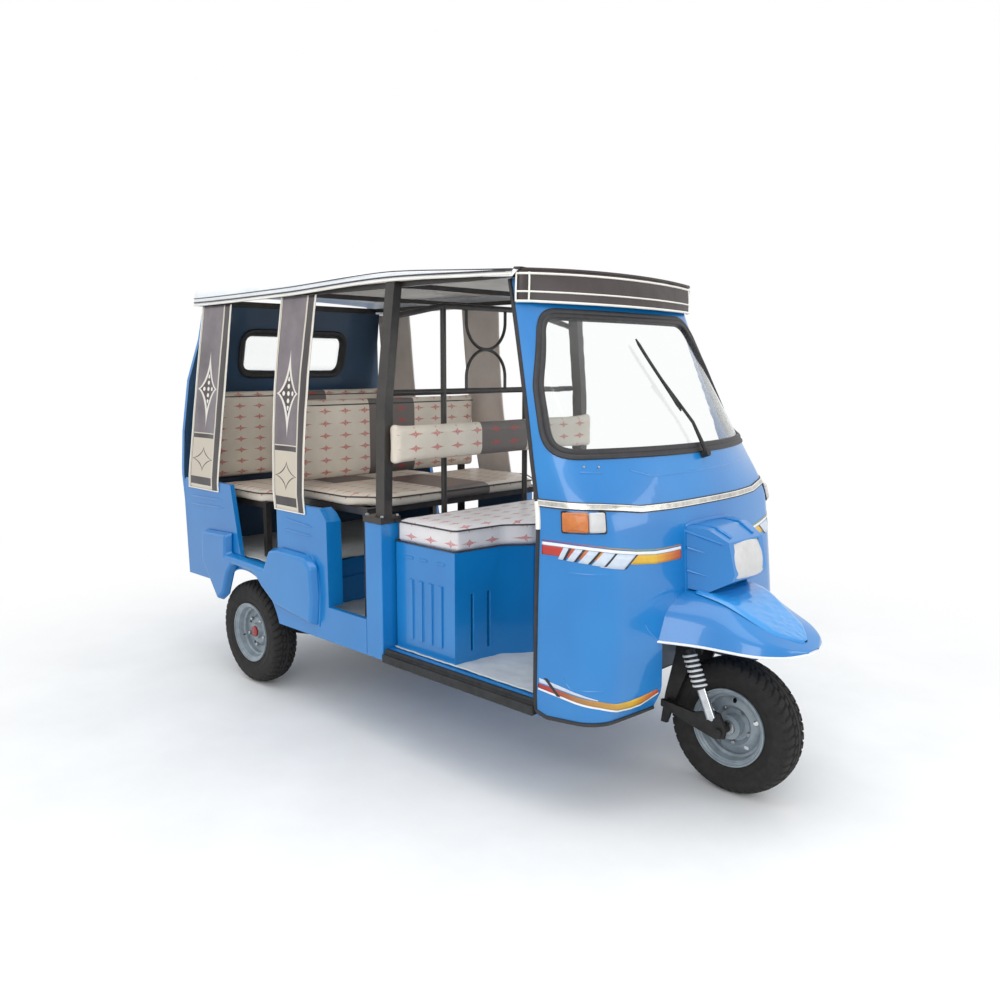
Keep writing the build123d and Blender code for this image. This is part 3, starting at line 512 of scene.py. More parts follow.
def lamp_plastic(name, dark, light, clear, roughness=0.12):
    material, tree, shader = new_finish(name, light, Roughness=roughness, IOR=1.58,
                                        Transmission_Weight=clear, Coat_Weight=0.5)
    mottled(tree, shader, dark, light, 30, 0.2, 0.8)
    flutes = add(tree, "ShaderNodeTexWave", {"Vector": add(tree, "ShaderNodeTexCoord").outputs["Object"],
                                             "Scale": 90.0, "Distortion": 0.6, "Detail": 1.0},
                 bands_direction="Z")
    bump = add(tree, "ShaderNodeBump", {"Height": flutes.outputs["Fac"], "Distance": 0.0012, "Strength": 0.5})
    tree.links.new(bump.outputs["Normal"], shader.inputs["Normal"])
    return material


clear_lens = lamp_plastic("clear_polycarbonate_lens", "#ece9e4", "#fbfaf8", 0.4)
amber_lens = lamp_plastic("amber_polycarbonate_lens", "#d66a08", "#f08a1c", 0.3, 0.2)
red_lens = lamp_plastic("red_polycarbonate_lens", "#8e0f0c", "#bb1a14", 0.3, 0.2)

# %% [markdown]
# ### Window glass
# Toughened glass is almost colourless, but it mirrors the sky at a slant. Light that only passes
# through to cast a shadow would be blocked by real refraction, so for shadow rays the pane
# turns transparent.

# %% Toughened window glass
window_pane, tree, shader = new_finish("toughened_window_glass", "#fafdfc", Roughness=0.02, IOR=1.45,
                                       Transmission_Weight=1.0)
uneven(tree, shader, 320, 0.5, 0.3, 1)
clear_way = add(tree, "ShaderNodeBsdfTransparent", {"Color": colour("#f4f8f7")})
rays = add(tree, "ShaderNodeLightPath")
either = add(tree, "ShaderNodeMath", {0: rays.outputs["Is Shadow Ray"], 1: rays.outputs["Is Diffuse Ray"]},
             operation="MAXIMUM")
pass_through = add(tree, "ShaderNodeMixShader", {0: either, 1: shader, 2: clear_way})
tree.links.new(pass_through.outputs[0], tree.nodes["Material Output"].inputs["Surface"])

# %% [markdown]
# ### Vinyl-coated cloth
# Roof, visor, curtains and seats are sewn from cotton cloth coated with PVC. The coating is
# embossed like leather at about a millimetre, and it has a soft, broad sheen. The cloth between
# its supports is never flat, so a slow wave lies under the grain.

# %% Coated cloth for roof, visor and seats
def coated_cloth(name, dark, light, roughness=0.45, wave=0.6, coat=0.15):
    material, tree, shader = new_finish(name, light, Roughness=roughness, IOR=1.52, Coat_Weight=coat,
                                        Coat_Roughness=0.3)
    mottled(tree, shader, dark, light, 150, 0.3, 0.7)
    slow = uneven(tree, shader, 70, 2.2, wave, 2)
    uneven(tree, shader, 1.8, 0.15, 0.5, under=slow)
    return material, tree, shader


roof_vinyl, tree, shader = coated_cloth("white_roof_vinyl", "#e6eaee", "#f4f6f8", 0.42)
# The headlining's colour is raised nearly to white: painted light on the shaded underside of the roof.
headlining, tree, shader = coated_cloth("headlining_cloth_painted_light", "#e2dfda", "#efede9", 0.8, 0.8, 0.0)
visor_vinyl, tree, shader = coated_cloth("brown_visor_vinyl", "#281e1d", "#362b29", 0.45, 1.0)
cream_piping, tree, shader = coated_cloth("cream_piping_vinyl", "#e6e2d9", "#f4f1ea", 0.45, 0.2)
dark_piping, tree, shader = coated_cloth("charcoal_piping_vinyl", "#252426", "#383638", 0.45, 0.2)

# %% [markdown]
# ### Printed film
# The stripes are solvent-printed vinyl film with a satin face. Plain ones have one colour with a
# faint unevenness of the ink. The wide stripes change colour along their length, so a ramp
# reads the place round the cowl, which the film's own texture coordinates carry.

# %% Printed vinyl films
def vinyl_film(name, dark, light, roughness=0.35):
    material, tree, shader = new_finish(name, light, Roughness=roughness, IOR=1.48, Coat_Weight=0.3)
    mottled(tree, shader, dark, light, 25, 0.2, 0.8)
    uneven(tree, shader, 12, 0.05, 0.4)
    return material


def ramp_film(name, stops):
    """Film whose printed colour follows stops of (place round the cowl, chart colour)."""
    material, tree, shader = new_finish(name, stops[0][1], Roughness=0.35, IOR=1.48, Coat_Weight=0.3)
    place = add(tree, "ShaderNodeSeparateXYZ", {0: add(tree, "ShaderNodeUVMap", uv_map="round").outputs[0]})
    ramp = add(tree, "ShaderNodeValToRGB", {0: place.outputs["X"]})
    while len(ramp.color_ramp.elements) < len(stops):
        ramp.color_ramp.elements.new(0.5)
    for element, (where, shade) in zip(ramp.color_ramp.elements, stops):
        element.position, element.color = where, colour(shade)
    ink = mottled(tree, None, "#d9d9d9", "#ffffff", 25, 0.2, 0.8)
    mix = add(tree, "ShaderNodeMix", {0: 0.6, 6: ramp, 7: ink}, data_type="RGBA", blend_type="MULTIPLY")
    tree.links.new(mix.outputs[2], shader.inputs["Base Color"])
    uneven(tree, shader, 12, 0.05, 0.4)
    return material


film_white = vinyl_film("white_vinyl_film", "#dcdee0", "#f0f1f2")
film_silver = vinyl_film("silver_vinyl_film", "#b9c6d6", "#ccd6e2", 0.28)
film_black = vinyl_film("black_vinyl_film", "#17181d", "#22242a")
printed_film = ramp_film("printed_band_film", [(0.22, "#c8502a"), (0.33, "#d98a2c"), (0.42, "#e3b52b"),
                                               (0.6, "#dfae2c"), (0.72, "#cf8a35"), (0.82, "#c4552f"),
                                               (0.9, "#c23528"), (1.0, "#b5302c")])
printed_low = ramp_film("printed_lower_film", [(0.37, "#c4472c"), (0.45, "#cf7a2a"), (0.54, "#e0b32c"),
                                               (0.68, "#c08f3c"), (0.8, "#a9763f"), (0.88, "#a8502f"),
                                               (0.93, "#b03026"), (1.0, "#9b2d33")])
film_thin = ramp_film("printed_line_film", [(0.22, "#c9772c"), (0.45, "#8fa04c"), (0.65, "#b08a3c"),
                                            (0.8, "#8d5a80"), (1.0, "#7d3f78")])

# %% [markdown]
# ### Printed seat vinyl
# The seats' vinyl carries rows of a small red flower motif, four thin petals wide and two
# short ones high. The motif repeats every ten centimetres or so, across each face of a pad,
# whichever way the face looks, and the middle of each bench, within a set distance of the
# centre line, is coloured dark grey.

# %% Seat vinyl with a repeated motif
def cell_distance(tree, value, pitch, shift=0.0):
    """How far a coordinate is from the middle of its cell, in metres."""
    moved = add(tree, "ShaderNodeMath", {0: value, 1: shift}, operation="ADD").outputs[0]
    cell = add(tree, "ShaderNodeMath", {0: moved, 1: pitch}, operation="DIVIDE").outputs[0]
    part = add(tree, "ShaderNodeMath", {0: cell}, operation="FRACT").outputs[0]
    middle = add(tree, "ShaderNodeMath", {0: part, 1: 0.5}, operation="SUBTRACT").outputs[0]
    return add(tree, "ShaderNodeMath", {0: middle, 1: pitch}, operation="MULTIPLY").outputs[0]


def star(tree, across, along, half_wide, half_high, power=0.62):
    """A four-pointed star: 1 inside, 0 outside."""
    parts = []
    for value, half in ((across, half_wide), (along, half_high)):
        size = add(tree, "ShaderNodeMath", {0: value}, operation="ABSOLUTE")
        share = add(tree, "ShaderNodeMath", {0: size, 1: half}, operation="DIVIDE")
        parts.append(add(tree, "ShaderNodeMath", {0: share, 1: power}, operation="POWER").outputs[0])
    total = add(tree, "ShaderNodeMath", {0: parts[0], 1: parts[1]}, operation="ADD")
    return add(tree, "ShaderNodeMath", {0: total, 1: 1.0}, operation="LESS_THAN").outputs[0]


def motif_vinyl(name, dark, light, ink, grey_middle_half):
    """Seat vinyl: base colours, ink of the motif, and half the width of the dark grey middle band."""
    material, tree, shader = coated_cloth(name, dark, light, 0.42, 1.0)
    base = mottled(tree, None, dark, light, 150, 0.3, 0.7)
    place = add(tree, "ShaderNodeSeparateXYZ", {0: add(tree, "ShaderNodeTexCoord").outputs["Object"]})
    facing = add(tree, "ShaderNodeSeparateXYZ", {0: add(tree, "ShaderNodeNewGeometry").outputs["Normal"]})
    looks = {}
    for axis in "YZ":
        size = add(tree, "ShaderNodeMath", {0: facing.outputs[axis]}, operation="ABSOLUTE")
        looks[axis] = add(tree, "ShaderNodeMath", {0: size, 1: 0.6}, operation="GREATER_THAN").outputs[0]
    across = add(tree, "ShaderNodeMix", {0: looks["Y"], 2: place.outputs["Y"],
                                         3: place.outputs["X"]}).outputs[0]
    along = add(tree, "ShaderNodeMix", {0: looks["Z"], 2: place.outputs["Z"],
                                        3: place.outputs["X"]}).outputs[0]
    u, v = cell_distance(tree, across, 0.112), cell_distance(tree, along, 0.056, 0.012)
    petals = star(tree, u, v, 0.041, 0.009, 0.8)
    heart = star(tree, u, v, 0.013, 0.016, 0.9)
    shape = add(tree, "ShaderNodeMath", {0: petals, 1: heart}, operation="MAXIMUM").outputs[0]
    grain = add(tree, "ShaderNodeTexNoise", {"Scale": 260.0, "Detail": 2.0})
    worn = add(tree, "ShaderNodeMapRange", {"Value": grain.outputs["Fac"],
                                            "From Min": 0.38, "From Max": 0.56})
    printed = add(tree, "ShaderNodeMath", {0: shape, 1: worn}, operation="MULTIPLY").outputs[0]
    # The middle of the pad, out to the given half width from the centre line, is coloured dark grey.
    from_middle = add(tree, "ShaderNodeMath", {0: place.outputs["Y"]}, operation="ABSOLUTE").outputs[0]
    panel = add(tree, "ShaderNodeMath", {0: from_middle, 1: grey_middle_half}, operation="LESS_THAN").outputs[0]
    ground = add(tree, "ShaderNodeMix", {0: panel, 6: base, 7: colour("#645c58")},
                 data_type="RGBA").outputs[2]
    final = add(tree, "ShaderNodeMix", {0: printed, 6: ground, 7: colour(ink)}, data_type="RGBA").outputs[2]
    tree.links.new(final, shader.inputs["Base Color"])
    return material


cream_print = motif_vinyl("cream_seat_vinyl_printed", "#cfc4b4", "#ddd3c4", "#b8332f", 0.14)
silver_print = motif_vinyl("silver_seat_vinyl_printed", "#d9d5d6", "#e8e5e6", "#c23a36", 0.0)
mat_vinyl, tree, shader = coated_cloth("grey_floor_vinyl", "#bcc0c0", "#d2d4d3", 0.38, 1.2)

# %% [markdown]
# ### Curtain vinyl
# The curtains' pattern is placed by shares of the strip's width and height. Borders and bands
# are steps of a ramp, and the stars are sums of powers of the distance from their centre,
# which gives their four thin concave points.

# %% Quilted curtain vinyl and its lining
def stepped(tree, value, edges, shades):
    """Bands of flat colour over a value that runs from 0 to 1."""
    ramp = add(tree, "ShaderNodeValToRGB", {0: value})
    ramp.color_ramp.interpolation = "CONSTANT"
    while len(ramp.color_ramp.elements) < len(edges):
        ramp.color_ramp.elements.new(0.5)
    for element, edge, shade in zip(ramp.color_ramp.elements, edges, shades):
        element.position = edge
        element.color = colour(shade)
    return ramp.outputs[0]


def over(tree, mask, below, above):
    """Lay one colour over another where a mask is 1."""
    above = colour(above) if isinstance(above, str) else above
    return add(tree, "ShaderNodeMix", {0: mask, 6: below, 7: above}, data_type="RGBA").outputs[2]


curtain_vinyl, tree, shader = new_finish("quilted_curtain_vinyl", "#6a6464", Roughness=0.38, IOR=1.52,
                                         Coat_Weight=0.25, Coat_Roughness=0.25)
share = add(tree, "ShaderNodeSeparateXYZ", {0: add(tree, "ShaderNodeUVMap", uv_map="share").outputs[0]})
CREAM, DARK = "#cfc6b7", "#383133"
field = mottled(tree, None, "#5f575b", "#7b7277", 160, 0.3, 0.7)
bands = stepped(tree, share.outputs["Y"], (0, 0.02, 0.065, 0.28, 0.287, 0.303, 0.31),
                (CREAM, DARK, "#c6bcab", DARK, DARK, CREAM, "#7a7276"))
upper = add(tree, "ShaderNodeMath", {0: share.outputs["Y"], 1: 0.31}, operation="GREATER_THAN").outputs[0]
body = over(tree, upper, bands, field)


def from_spot(tree, across, along):
    """Distances from a spot of the strip, as shares of its width and height."""
    return [add(tree, "ShaderNodeMath", {0: share.outputs[axis], 1: where}, operation="SUBTRACT").outputs[0]
            for axis, where in (("X", across), ("Y", along))]


u, v = from_spot(tree, 0.41, 0.55)
body = over(tree, star(tree, u, v, 0.34, 0.215, 0.6), body, "#ded8cf")
body = over(tree, star(tree, u, v, 0.26, 0.115, 0.7), body, "#463a3a")
dots = [cell_distance(tree, u, 0.13, 0.065), cell_distance(tree, v, 0.034, 0.017)]
body = over(tree, add(tree, "ShaderNodeMath", {0: star(tree, dots[0], dots[1], 0.036, 0.011, 2.0),
                                               1: star(tree, u, v, 0.22, 0.095, 0.7)},
                      operation="MULTIPLY").outputs[0], body, "#e6e0d8")
u, v = from_spot(tree, 0.42, 0.165)
outline, opening = star(tree, u, v, 0.37, 0.072, 0.62), star(tree, u, v, 0.31, 0.06, 0.62)
ring = add(tree, "ShaderNodeMath", {0: outline, 1: opening}, operation="SUBTRACT").outputs[0]
body = over(tree, ring, body, "#463d3d")
edges = stepped(tree, share.outputs["X"], (0, 0.05, 0.75, 0.79, 0.95), (CREAM, DARK, CREAM, DARK, CREAM))
past_edge = add(tree, "ShaderNodeMath", {0: share.outputs["X"], 1: 0.065}, operation="GREATER_THAN")
short_of_edge = add(tree, "ShaderNodeMath", {0: share.outputs["X"], 1: 0.75}, operation="LESS_THAN")
inside = add(tree, "ShaderNodeMath", {0: past_edge, 1: short_of_edge}, operation="MULTIPLY").outputs[0]
tree.links.new(over(tree, inside, edges, body), shader.inputs["Base Color"])
slow = uneven(tree, shader, 60, 3.0, 0.7, 2)
uneven(tree, shader, 1.8, 0.15, 0.5, under=slow)
curtain_lining, tree, shader = coated_cloth("curtain_lining_cloth", "#cdc1b8", "#dcd2ca", 0.7, 1.0)

# %% [markdown]
# ## The camera
# The camera stands ahead of the right front corner, a little above the cab's door height, and
# looks slightly down. Its lens has the angle of view of a 33 mm lens on a 36 mm sensor.

# %% Camera
CAMERA = at(3827.9, -2843.5, 1519.5)
YAW, TILT, ROLL = math.radians(134.24), math.radians(-8.41), math.radians(0.16)
camera_data = bpy.data.cameras.new("camera")
camera = bpy.data.objects.new("camera", camera_data)
bpy.context.scene.collection.objects.link(camera)
camera_data.lens = 33.06
camera_data.sensor_width = 36.0
camera_data.clip_end = 100
looking = Vector((math.cos(YAW) * math.cos(TILT), math.sin(YAW) * math.cos(TILT), math.sin(TILT)))
aim = looking.to_track_quat("-Z", "Y").to_matrix()
camera.rotation_euler = (aim @ Matrix.Rotation(ROLL, 3, "Z")).to_euler()
camera.location = CAMERA
bpy.context.scene.camera = camera
bpy.context.scene.view_settings.view_transform = "Standard"
print("camera at", [round(v, 3) for v in camera.location])

# %% [markdown]
# ## Light and floor
# A studio lights a vehicle with large soft sources: one overhead, one towards the viewer's side
# and a weaker one to fill the front. The floor is pale concrete near the vehicle and fades to
# plain white, as a sweep of paper does. The backdrop is white only for the rays that see it, so
# that it adds no extra light.

# %% Backdrop and lamps
world = bpy.data.worlds.new("studio")
bpy.context.scene.world = world
world.use_nodes = True
tree = world.node_tree
tree.nodes.clear()
rays = add(tree, "ShaderNodeLightPath")
seen = add(tree, "ShaderNodeMath", {0: rays.outputs["Is Camera Ray"],
                                    1: rays.outputs["Is Transmission Ray"]}, operation="MAXIMUM")
seen_or_mirrored = add(tree, "ShaderNodeMath", {0: seen, 1: rays.outputs["Is Glossy Ray"]},
                       operation="MAXIMUM")
soft_sky = add(tree, "ShaderNodeBackground", {"Color": colour("#eef1f4"), "Strength": 0.98})
white_sky = add(tree, "ShaderNodeBackground", {"Color": (1, 1, 1, 1), "Strength": 1.0})
sky = add(tree, "ShaderNodeMixShader", {0: seen_or_mirrored, 1: soft_sky, 2: white_sky})
add(tree, "ShaderNodeOutputWorld", {"Surface": sky})


def soft_lamp(name, place, target, width, height, watts):
    data = bpy.data.lights.new(name, "AREA")
    data.shape, data.size, data.size_y, data.energy = "RECTANGLE", width, height, watts
    lamp = bpy.data.objects.new(name, data)
    bpy.context.scene.collection.objects.link(lamp)
    lamp.location = place
    lamp.rotation_euler = (Vector(target) - Vector(place)).to_track_quat("-Z", "Y").to_euler()
    return lamp


soft_lamp("overhead", (0.6, -0.8, 5.2), (0, 0, 0.6), 5.0, 4.0, 92)
soft_lamp("key", (3.6, -4.6, 3.4), (0.2, 0, 0.7), 3.2, 2.4, 82)
soft_lamp("front_fill", (5.4, 1.8, 2.2), (0.6, 0, 0.8), 2.4, 2.0, 36)

# %% [markdown]
# The floor is a pale sheet that goes over into white with its distance from the middle. It keeps
# the vehicle's shadow and shows no edge.

# %% Floor
floor_finish, tree, shader = new_finish("pale_studio_floor", "#f2f2f1", Roughness=0.6, IOR=1.5)
mottled(tree, shader, "#eeeeed", "#f5f5f4", 600)
rays = add(tree, "ShaderNodeLightPath")
seen = add(tree, "ShaderNodeMath", {0: rays.outputs["Is Camera Ray"], 1: rays.outputs["Is Glossy Ray"]},
           operation="MAXIMUM")
seen_through = add(tree, "ShaderNodeMath", {0: seen, 1: rays.outputs["Is Transmission Ray"]},
                   operation="MAXIMUM")
place = add(tree, "ShaderNodeTexCoord")
distance = add(tree, "ShaderNodeVectorMath", {0: place.outputs["Object"]}, operation="LENGTH")
far = add(tree, "ShaderNodeMapRange", {"Value": distance.outputs["Value"],
                                       "From Min": 1.6, "From Max": 3.6}, interpolation_type="SMOOTHSTEP")
whiter = add(tree, "ShaderNodeMath", {0: far, 1: seen_through}, operation="MULTIPLY")
plain_white = add(tree, "ShaderNodeEmission", {"Color": (1, 1, 1, 1), "Strength": 1.0})
sweep = add(tree, "ShaderNodeMixShader", {0: whiter, 1: shader, 2: plain_white})
tree.links.new(sweep.outputs[0], tree.nodes["Material Output"].inputs["Surface"])
floor_mesh = bpy.data.meshes.new("floor")
circle = [(math.cos(a * math.pi / 24), math.sin(a * math.pi / 24)) for a in range(48)]
rings = [[Vector((r * ca, r * sa, -0.0005)) for ca, sa in circle] for r in (0.0001, 2, 6, 14, 40)]
points, faces = skin(rings, closed=True)
floor_mesh.from_pydata([tuple(p) for p in points], [], faces)
floor_mesh.materials.append(floor_finish)
floor = bpy.data.objects.new("floor", floor_mesh)
bpy.context.scene.collection.objects.link(floor)
for face in floor_mesh.polygons:
    if face.normal.z < 0:
        face.flip()

# %% [markdown]
# ## Finishes for the rigid parts that keep their shape
# Welded tube, flat sheet and castings already look right in the rigid model. They only get
# their finish, in every slot that they have.

# %% Dress the rigid nodes
def dress(node, finish):
    """Give a rigid node its finish."""
    obj = nodes[node]
    if not obj.material_slots:
        obj.data.materials.append(finish)
    for place in obj.material_slots:
        place.material = finish


# The footwell under the cowl gets the darker navy copy of the enamel, as painted shade.
PLAIN_NODES = {
    "cabin_frame": tube_enamel, "partition_grille": tube_enamel, "middle_bench_frame": tube_enamel,
    "rear_bench_frame": tube_enamel, "chassis_frame": chassis_enamel, "engine_block": cast_alloy,
    "half_shafts": chassis_enamel, "trailing_arms": chassis_enamel, "rear_springs": chassis_enamel,
    "front_fork": chassis_enamel, "front_links": chassis_enamel, "shock_bodies": hard_chrome,
    "shock_springs": chassis_enamel, "handlebar": tube_enamel, "instrument_pod": dash_plastic,
    "floor_pan": sky_enamel, "front_footwell": navy_painted_shade,
    "front_rim": wheel_enamel, "rear_rim_left": wheel_enamel, "rear_rim_right": wheel_enamel,
}
for node, finish in PLAIN_NODES.items():
    dress(node, finish)
print("dressed", len(PLAIN_NODES), "rigid nodes")

# %% [markdown]
# ## The front cowl
# The cowl is one large pressing, bowed in front, with rounded corners and sides that run back to
# the doors. Its plan at any height is an arc for the nose, a rounded corner and a straight
# side. `cowl_plan` gives a point of that plan by how far round it is, from 0 at the nose to 1
# at the door edge, and `on_cowl` lifts it along the skin's own normal. Every strip, seal and
# lamp on the cowl is placed by these two numbers, so all of them lie truly on the skin.

# %% Plan of the bowed front
COWL = [   # height, x at door edge, half width there, x at corner, half width there, x of nose, corner radius
    (345, 1850, 632, 2062, 575, 2092, 110), (430, 1850, 636, 2085, 590, 2126, 140),
    (984, 1850, 628, 2042, 578, 2102, 180), (1214, 1793, 600, 1905, 560, 2045, 180),
    (1728, 1629, 520, 1660, 484, 1702, 90), (1811.7, 1606, 513, 1637, 477, 1679, 80)]
known_plans = {}


def bowed_plan(row):
    """Half plan of a bowed front, from the nose round the corner and on past the door edge."""
    _, x_door, w_door, x_corner, w_corner, x_nose, r = row
    centre = (x_corner**2 + w_corner**2 - x_nose**2) / (2 * (x_corner - x_nose))
    radius = x_nose - centre
    side = Vector((x_corner - x_door, w_corner - w_door)).normalized()
    corner_angle = math.asin(w_corner / radius)
    arc = Vector((math.sin(corner_angle), -math.cos(corner_angle)))
    reach = r * math.tan(math.acos(side.dot(arc)) / 2)
    side_end = Vector((x_corner, w_corner)) - side * reach
    last = corner_angle - reach / radius
    arc_end = Vector((centre + radius * math.cos(last), radius * math.sin(last)))
    arc_way = Vector((math.sin(last), -math.cos(last)))
    points = [Vector((centre + radius * math.cos(last * i / 14), radius * math.sin(last * i / 14)))
              for i in range(14)]
    a, b, c, d = arc_end, arc_end - arc_way * 0.58 * reach, side_end + side * 0.58 * reach, side_end
    for i in range(20):
        t = i / 19
        points.append(a * (1 - t)**3 + b * 3 * t * (1 - t)**2 + c * 3 * t * t * (1 - t) + d * t**3)
    back = Vector((x_door - 90, w_door - side.y / side.x * 90))
    return points + [side_end.lerp(back, i / 8) for i in range(1, 9)]


print("plan at the belt", len(bowed_plan(row_at(COWL, 984))), "points")

# %% [markdown]
# Thousands of points ask for the same heights, so each height's plan is worked out once and kept.

# %% Points on the cowl
def cowl_outline(z):
    """Half plan outline at a height, with the length along it up to each point, and up to the door edge."""
    key = round(z, 1)
    if key in known_plans:
        return known_plans[key]
    row = row_at(COWL, z)
    points = bowed_plan(row)
    lengths = [0.0]
    for p, q in zip(points, points[1:]):
        lengths.append(lengths[-1] + (q - p).length)
    i = max(k for k in range(1, len(points)) if points[k - 1].x >= row[1])
    share = (points[i - 1].x - row[1]) / (points[i - 1].x - points[i].x)
    known_plans[key] = points, lengths, lengths[i - 1] + (lengths[i] - lengths[i - 1]) * share
    return known_plans[key]


def cowl_plan(s, z):
    """(x, y) of the skin, a share of the way round it at a height."""
    points, lengths, full = cowl_outline(z)
    reach = abs(s) * full
    i = min(max(bisect.bisect_right(lengths, reach) - 1, 0), len(lengths) - 2)
    t = (reach - lengths[i]) / (lengths[i + 1] - lengths[i])
    p = points[i].lerp(points[i + 1], t)
    return p.x, -p.y if s < 0 else p.y


def cowl_normal(s, z):
    """Direction straight out of the skin."""
    e = 0.004
    low, high = max(z - 4, 345), min(z + 4, 1811)
    along = Vector((*cowl_plan(s + e, z), z)) - Vector((*cowl_plan(s - e, z), z))
    up = Vector((*cowl_plan(s, high), high)) - Vector((*cowl_plan(s, low), low))
    return along.cross(up).normalized()


def on_cowl(s, z, lift=0.0):
    """The skin's point, or one at a distance outside it."""
    p = Vector((*cowl_plan(s, z), z))
    return p + cowl_normal(s, z) * lift if lift else p


def s_where(test, z):
    """How far round the skin a test of its plan point still holds, at a height."""
    low, high = 0.0, 1.05
    for _ in range(26):
        middle = (low + high) / 2
        low, high = (middle, high) if test(*cowl_plan(middle, z)) else (low, middle)
    return low


print("half way round at the belt", round(cowl_outline(984)[2]), "mm")

# %% [markdown]
# The shell is a fine grid on that surface, given its wall thickness by Solidify. Two outlines
# bound the windshield opening: one seen from the side, whose rear edge leans with the pillar,
# and one seen from the front, which narrows upwards. At each height the opening reaches as far
# as the nearer of the two, and where they meet they are blended, so the corner stays round.
# Cutting after thickening gives square, closed edges, as a press tool leaves them.

# %% The windshield opening
WALL = 24.0            # outer sheet to inner sheet
PANE_MM = 5.0
CORNER_BLEND = 0.2     # share of the way round over which the opening's outlines blend
GLASS_LOW, GLASS_HIGH = 1214.0, 1708.0


def edge_at(path, z):
    """How far out a rising outline of (across, height) points is at a height."""
    for (a, low), (b, high) in zip(path, path[1:]):
        if low <= z <= high and high > low:
            return a + (b - a) * (z - low) / (high - low)
    return path[0][0] if z < path[0][1] else path[-1][0]


def opening_edges(inset):
    """The opening's two outlines, moved inwards: (x, z) from the side, (half width, z) from the front."""
    low, high = GLASS_LOW + inset, GLASS_HIGH - inset
    rear = [1830 - (z - GLASS_LOW) * 186 / 494 + inset * 1.07 for z in (low, high)]
    side = rounded_path([(2520, low, 0), (rear[0], low, 0), (rear[1], high, 0)], 92, 14)
    corner = 652 - (high - 1330) * 202 / 378 - inset * 1.13
    front = rounded_path([(700 - inset, 1174, 0), (652 - inset, 1330, 0), (corner, high, 0), (0, high, 0)],
                         78, 10)
    return [(p.x, p.y) for p in side], [(p.x, p.y) for p in front]


def opening_limit(edges, z):
    """How far round the cowl the opening reaches at a height."""
    rear, half = edge_at(edges[0], z), edge_at(edges[1], z)
    side, front = s_where(lambda x, y: x > rear, z), s_where(lambda x, y: y < half, z)
    near = max(0.0, 1 - abs(side - front) / CORNER_BLEND)
    return min(side, front) - CORNER_BLEND / 4 * near * near


def cutter(name, rows):
    """Solid that is used only to cut with."""
    points, faces = solid(rows)
    mesh = bpy.data.meshes.new(name)
    mesh.from_pydata([tuple(p) for p in points], [], faces)
    tidy_mesh(mesh)
    obj = bpy.data.objects.new(name, mesh)
    bpy.context.scene.collection.objects.link(obj)
    return obj


def cut(obj, cutters):
    """Take the cutters' room out of an object and put the cutters away."""
    for tool in cutters:
        hole = obj.modifiers.new("hole", "BOOLEAN")
        hole.object, hole.operation, hole.solver = tool, "DIFFERENCE", "EXACT"
    applied(obj)
    for tool in cutters:
        bpy.data.objects.remove(tool)
    return obj


print("opening reaches", round(opening_limit(opening_edges(0), 1460), 3), "of the way round")

# %% [markdown]
# The shell's grid has 111 heights and 201 places round it. The opening and the room over the
# front wheel are cut out of it as solids.

# %% The shell, cut open
heights = [345 + (1811 - 345) * i / 110 for i in range(111)]
turns = [-1 + 2 * i / 200 for i in range(201)]
cowl = piece("front_cowl_skin", [skin([[at(*on_cowl(s, z)) for s in turns] for z in heights])],
             finish=sky_enamel, stands_for="front_cowl", slot="body_blue")
thickened(cowl, WALL, -1, even=True)


def opening_block(inset, outside, inside):
    """Solid that fills the opening from a distance outside the skin to one inside it."""
    edges, rows = opening_edges(inset), []
    low, high = GLASS_LOW + inset, GLASS_HIGH - inset
    for k in range(61):
        z = low + (high - low) * (1 - math.cos(math.pi * k / 60)) / 2
        reach = opening_limit(edges, z)
        across = [reach * (i / 24 - 1) for i in range(49)]
        front = [at(*on_cowl(s, z, outside)) for s in across]
        rows.append(front + [at(*on_cowl(s, z, -inside)) for s in reversed(across)])
    return cutter("opening_block", rows)


WHEEL_ROOM = [(1900, 300), (2300, 300), (2300, 606), (1900, 606)]     # seen from the side
WHEEL_ROOM_HALF = 288
wheel_block = cutter("wheel_block", [[at(x, y, z) for x, z in WHEEL_ROOM]
                                     for y in (-WHEEL_ROOM_HALF, WHEEL_ROOM_HALF)])
cut(cowl, [opening_block(0, 30, 60), wheel_block])
tidy_mesh(cowl.data, 40)

# %% [markdown]
# ## Windshield rubber and pane
# The rubber is one extruded ring that grips the metal's edge on one side and the glass on the
# other. Its section has two rounded lips with a groove between them. The section is swept along
# the opening's outline on the cowl's skin. The outline's points are first spaced evenly in
# space, so that the rubber doesn't pinch in the corners.

# %% Sweep a section along a line on the cowl
def evenly(line, count):
    """A closed line of (s, z) with its points spread evenly along the skin."""
    line = line + line[:1]
    lengths = [0.0]
    for a, b in zip(line, line[1:]):
        lengths.append(lengths[-1] + (on_cowl(*b) - on_cowl(*a)).length)
    spread = []
    for k in range(count):
        reach = lengths[-1] * k / count
        i = min(bisect.bisect_right(lengths, reach) - 1, len(line) - 2)
        t = (reach - lengths[i]) / max(lengths[i + 1] - lengths[i], 1e-9)
        spread.append(tuple(a + (b - a) * t for a, b in zip(line[i], line[i + 1])))
    return spread


def opening_line(inset, count=220):
    """Closed line on the skin, in (s, z), along the windshield opening moved inwards."""
    edges = opening_edges(inset)
    low, high = GLASS_LOW + inset, GLASS_HIGH - inset
    near = []
    for k in range(81):
        z = low + (high - low) * (1 - math.cos(math.pi * k / 80)) / 2
        near.append((-opening_limit(edges, z), z))
    high_run = [(near[-1][0] * (1 - k / 30), high) for k in range(1, 60)]
    low_run = [(-near[0][0] * (1 - k / 30), low) for k in range(1, 60)]
    return evenly(near + high_run + [(-s, z) for s, z in reversed(near)] + low_run, count)


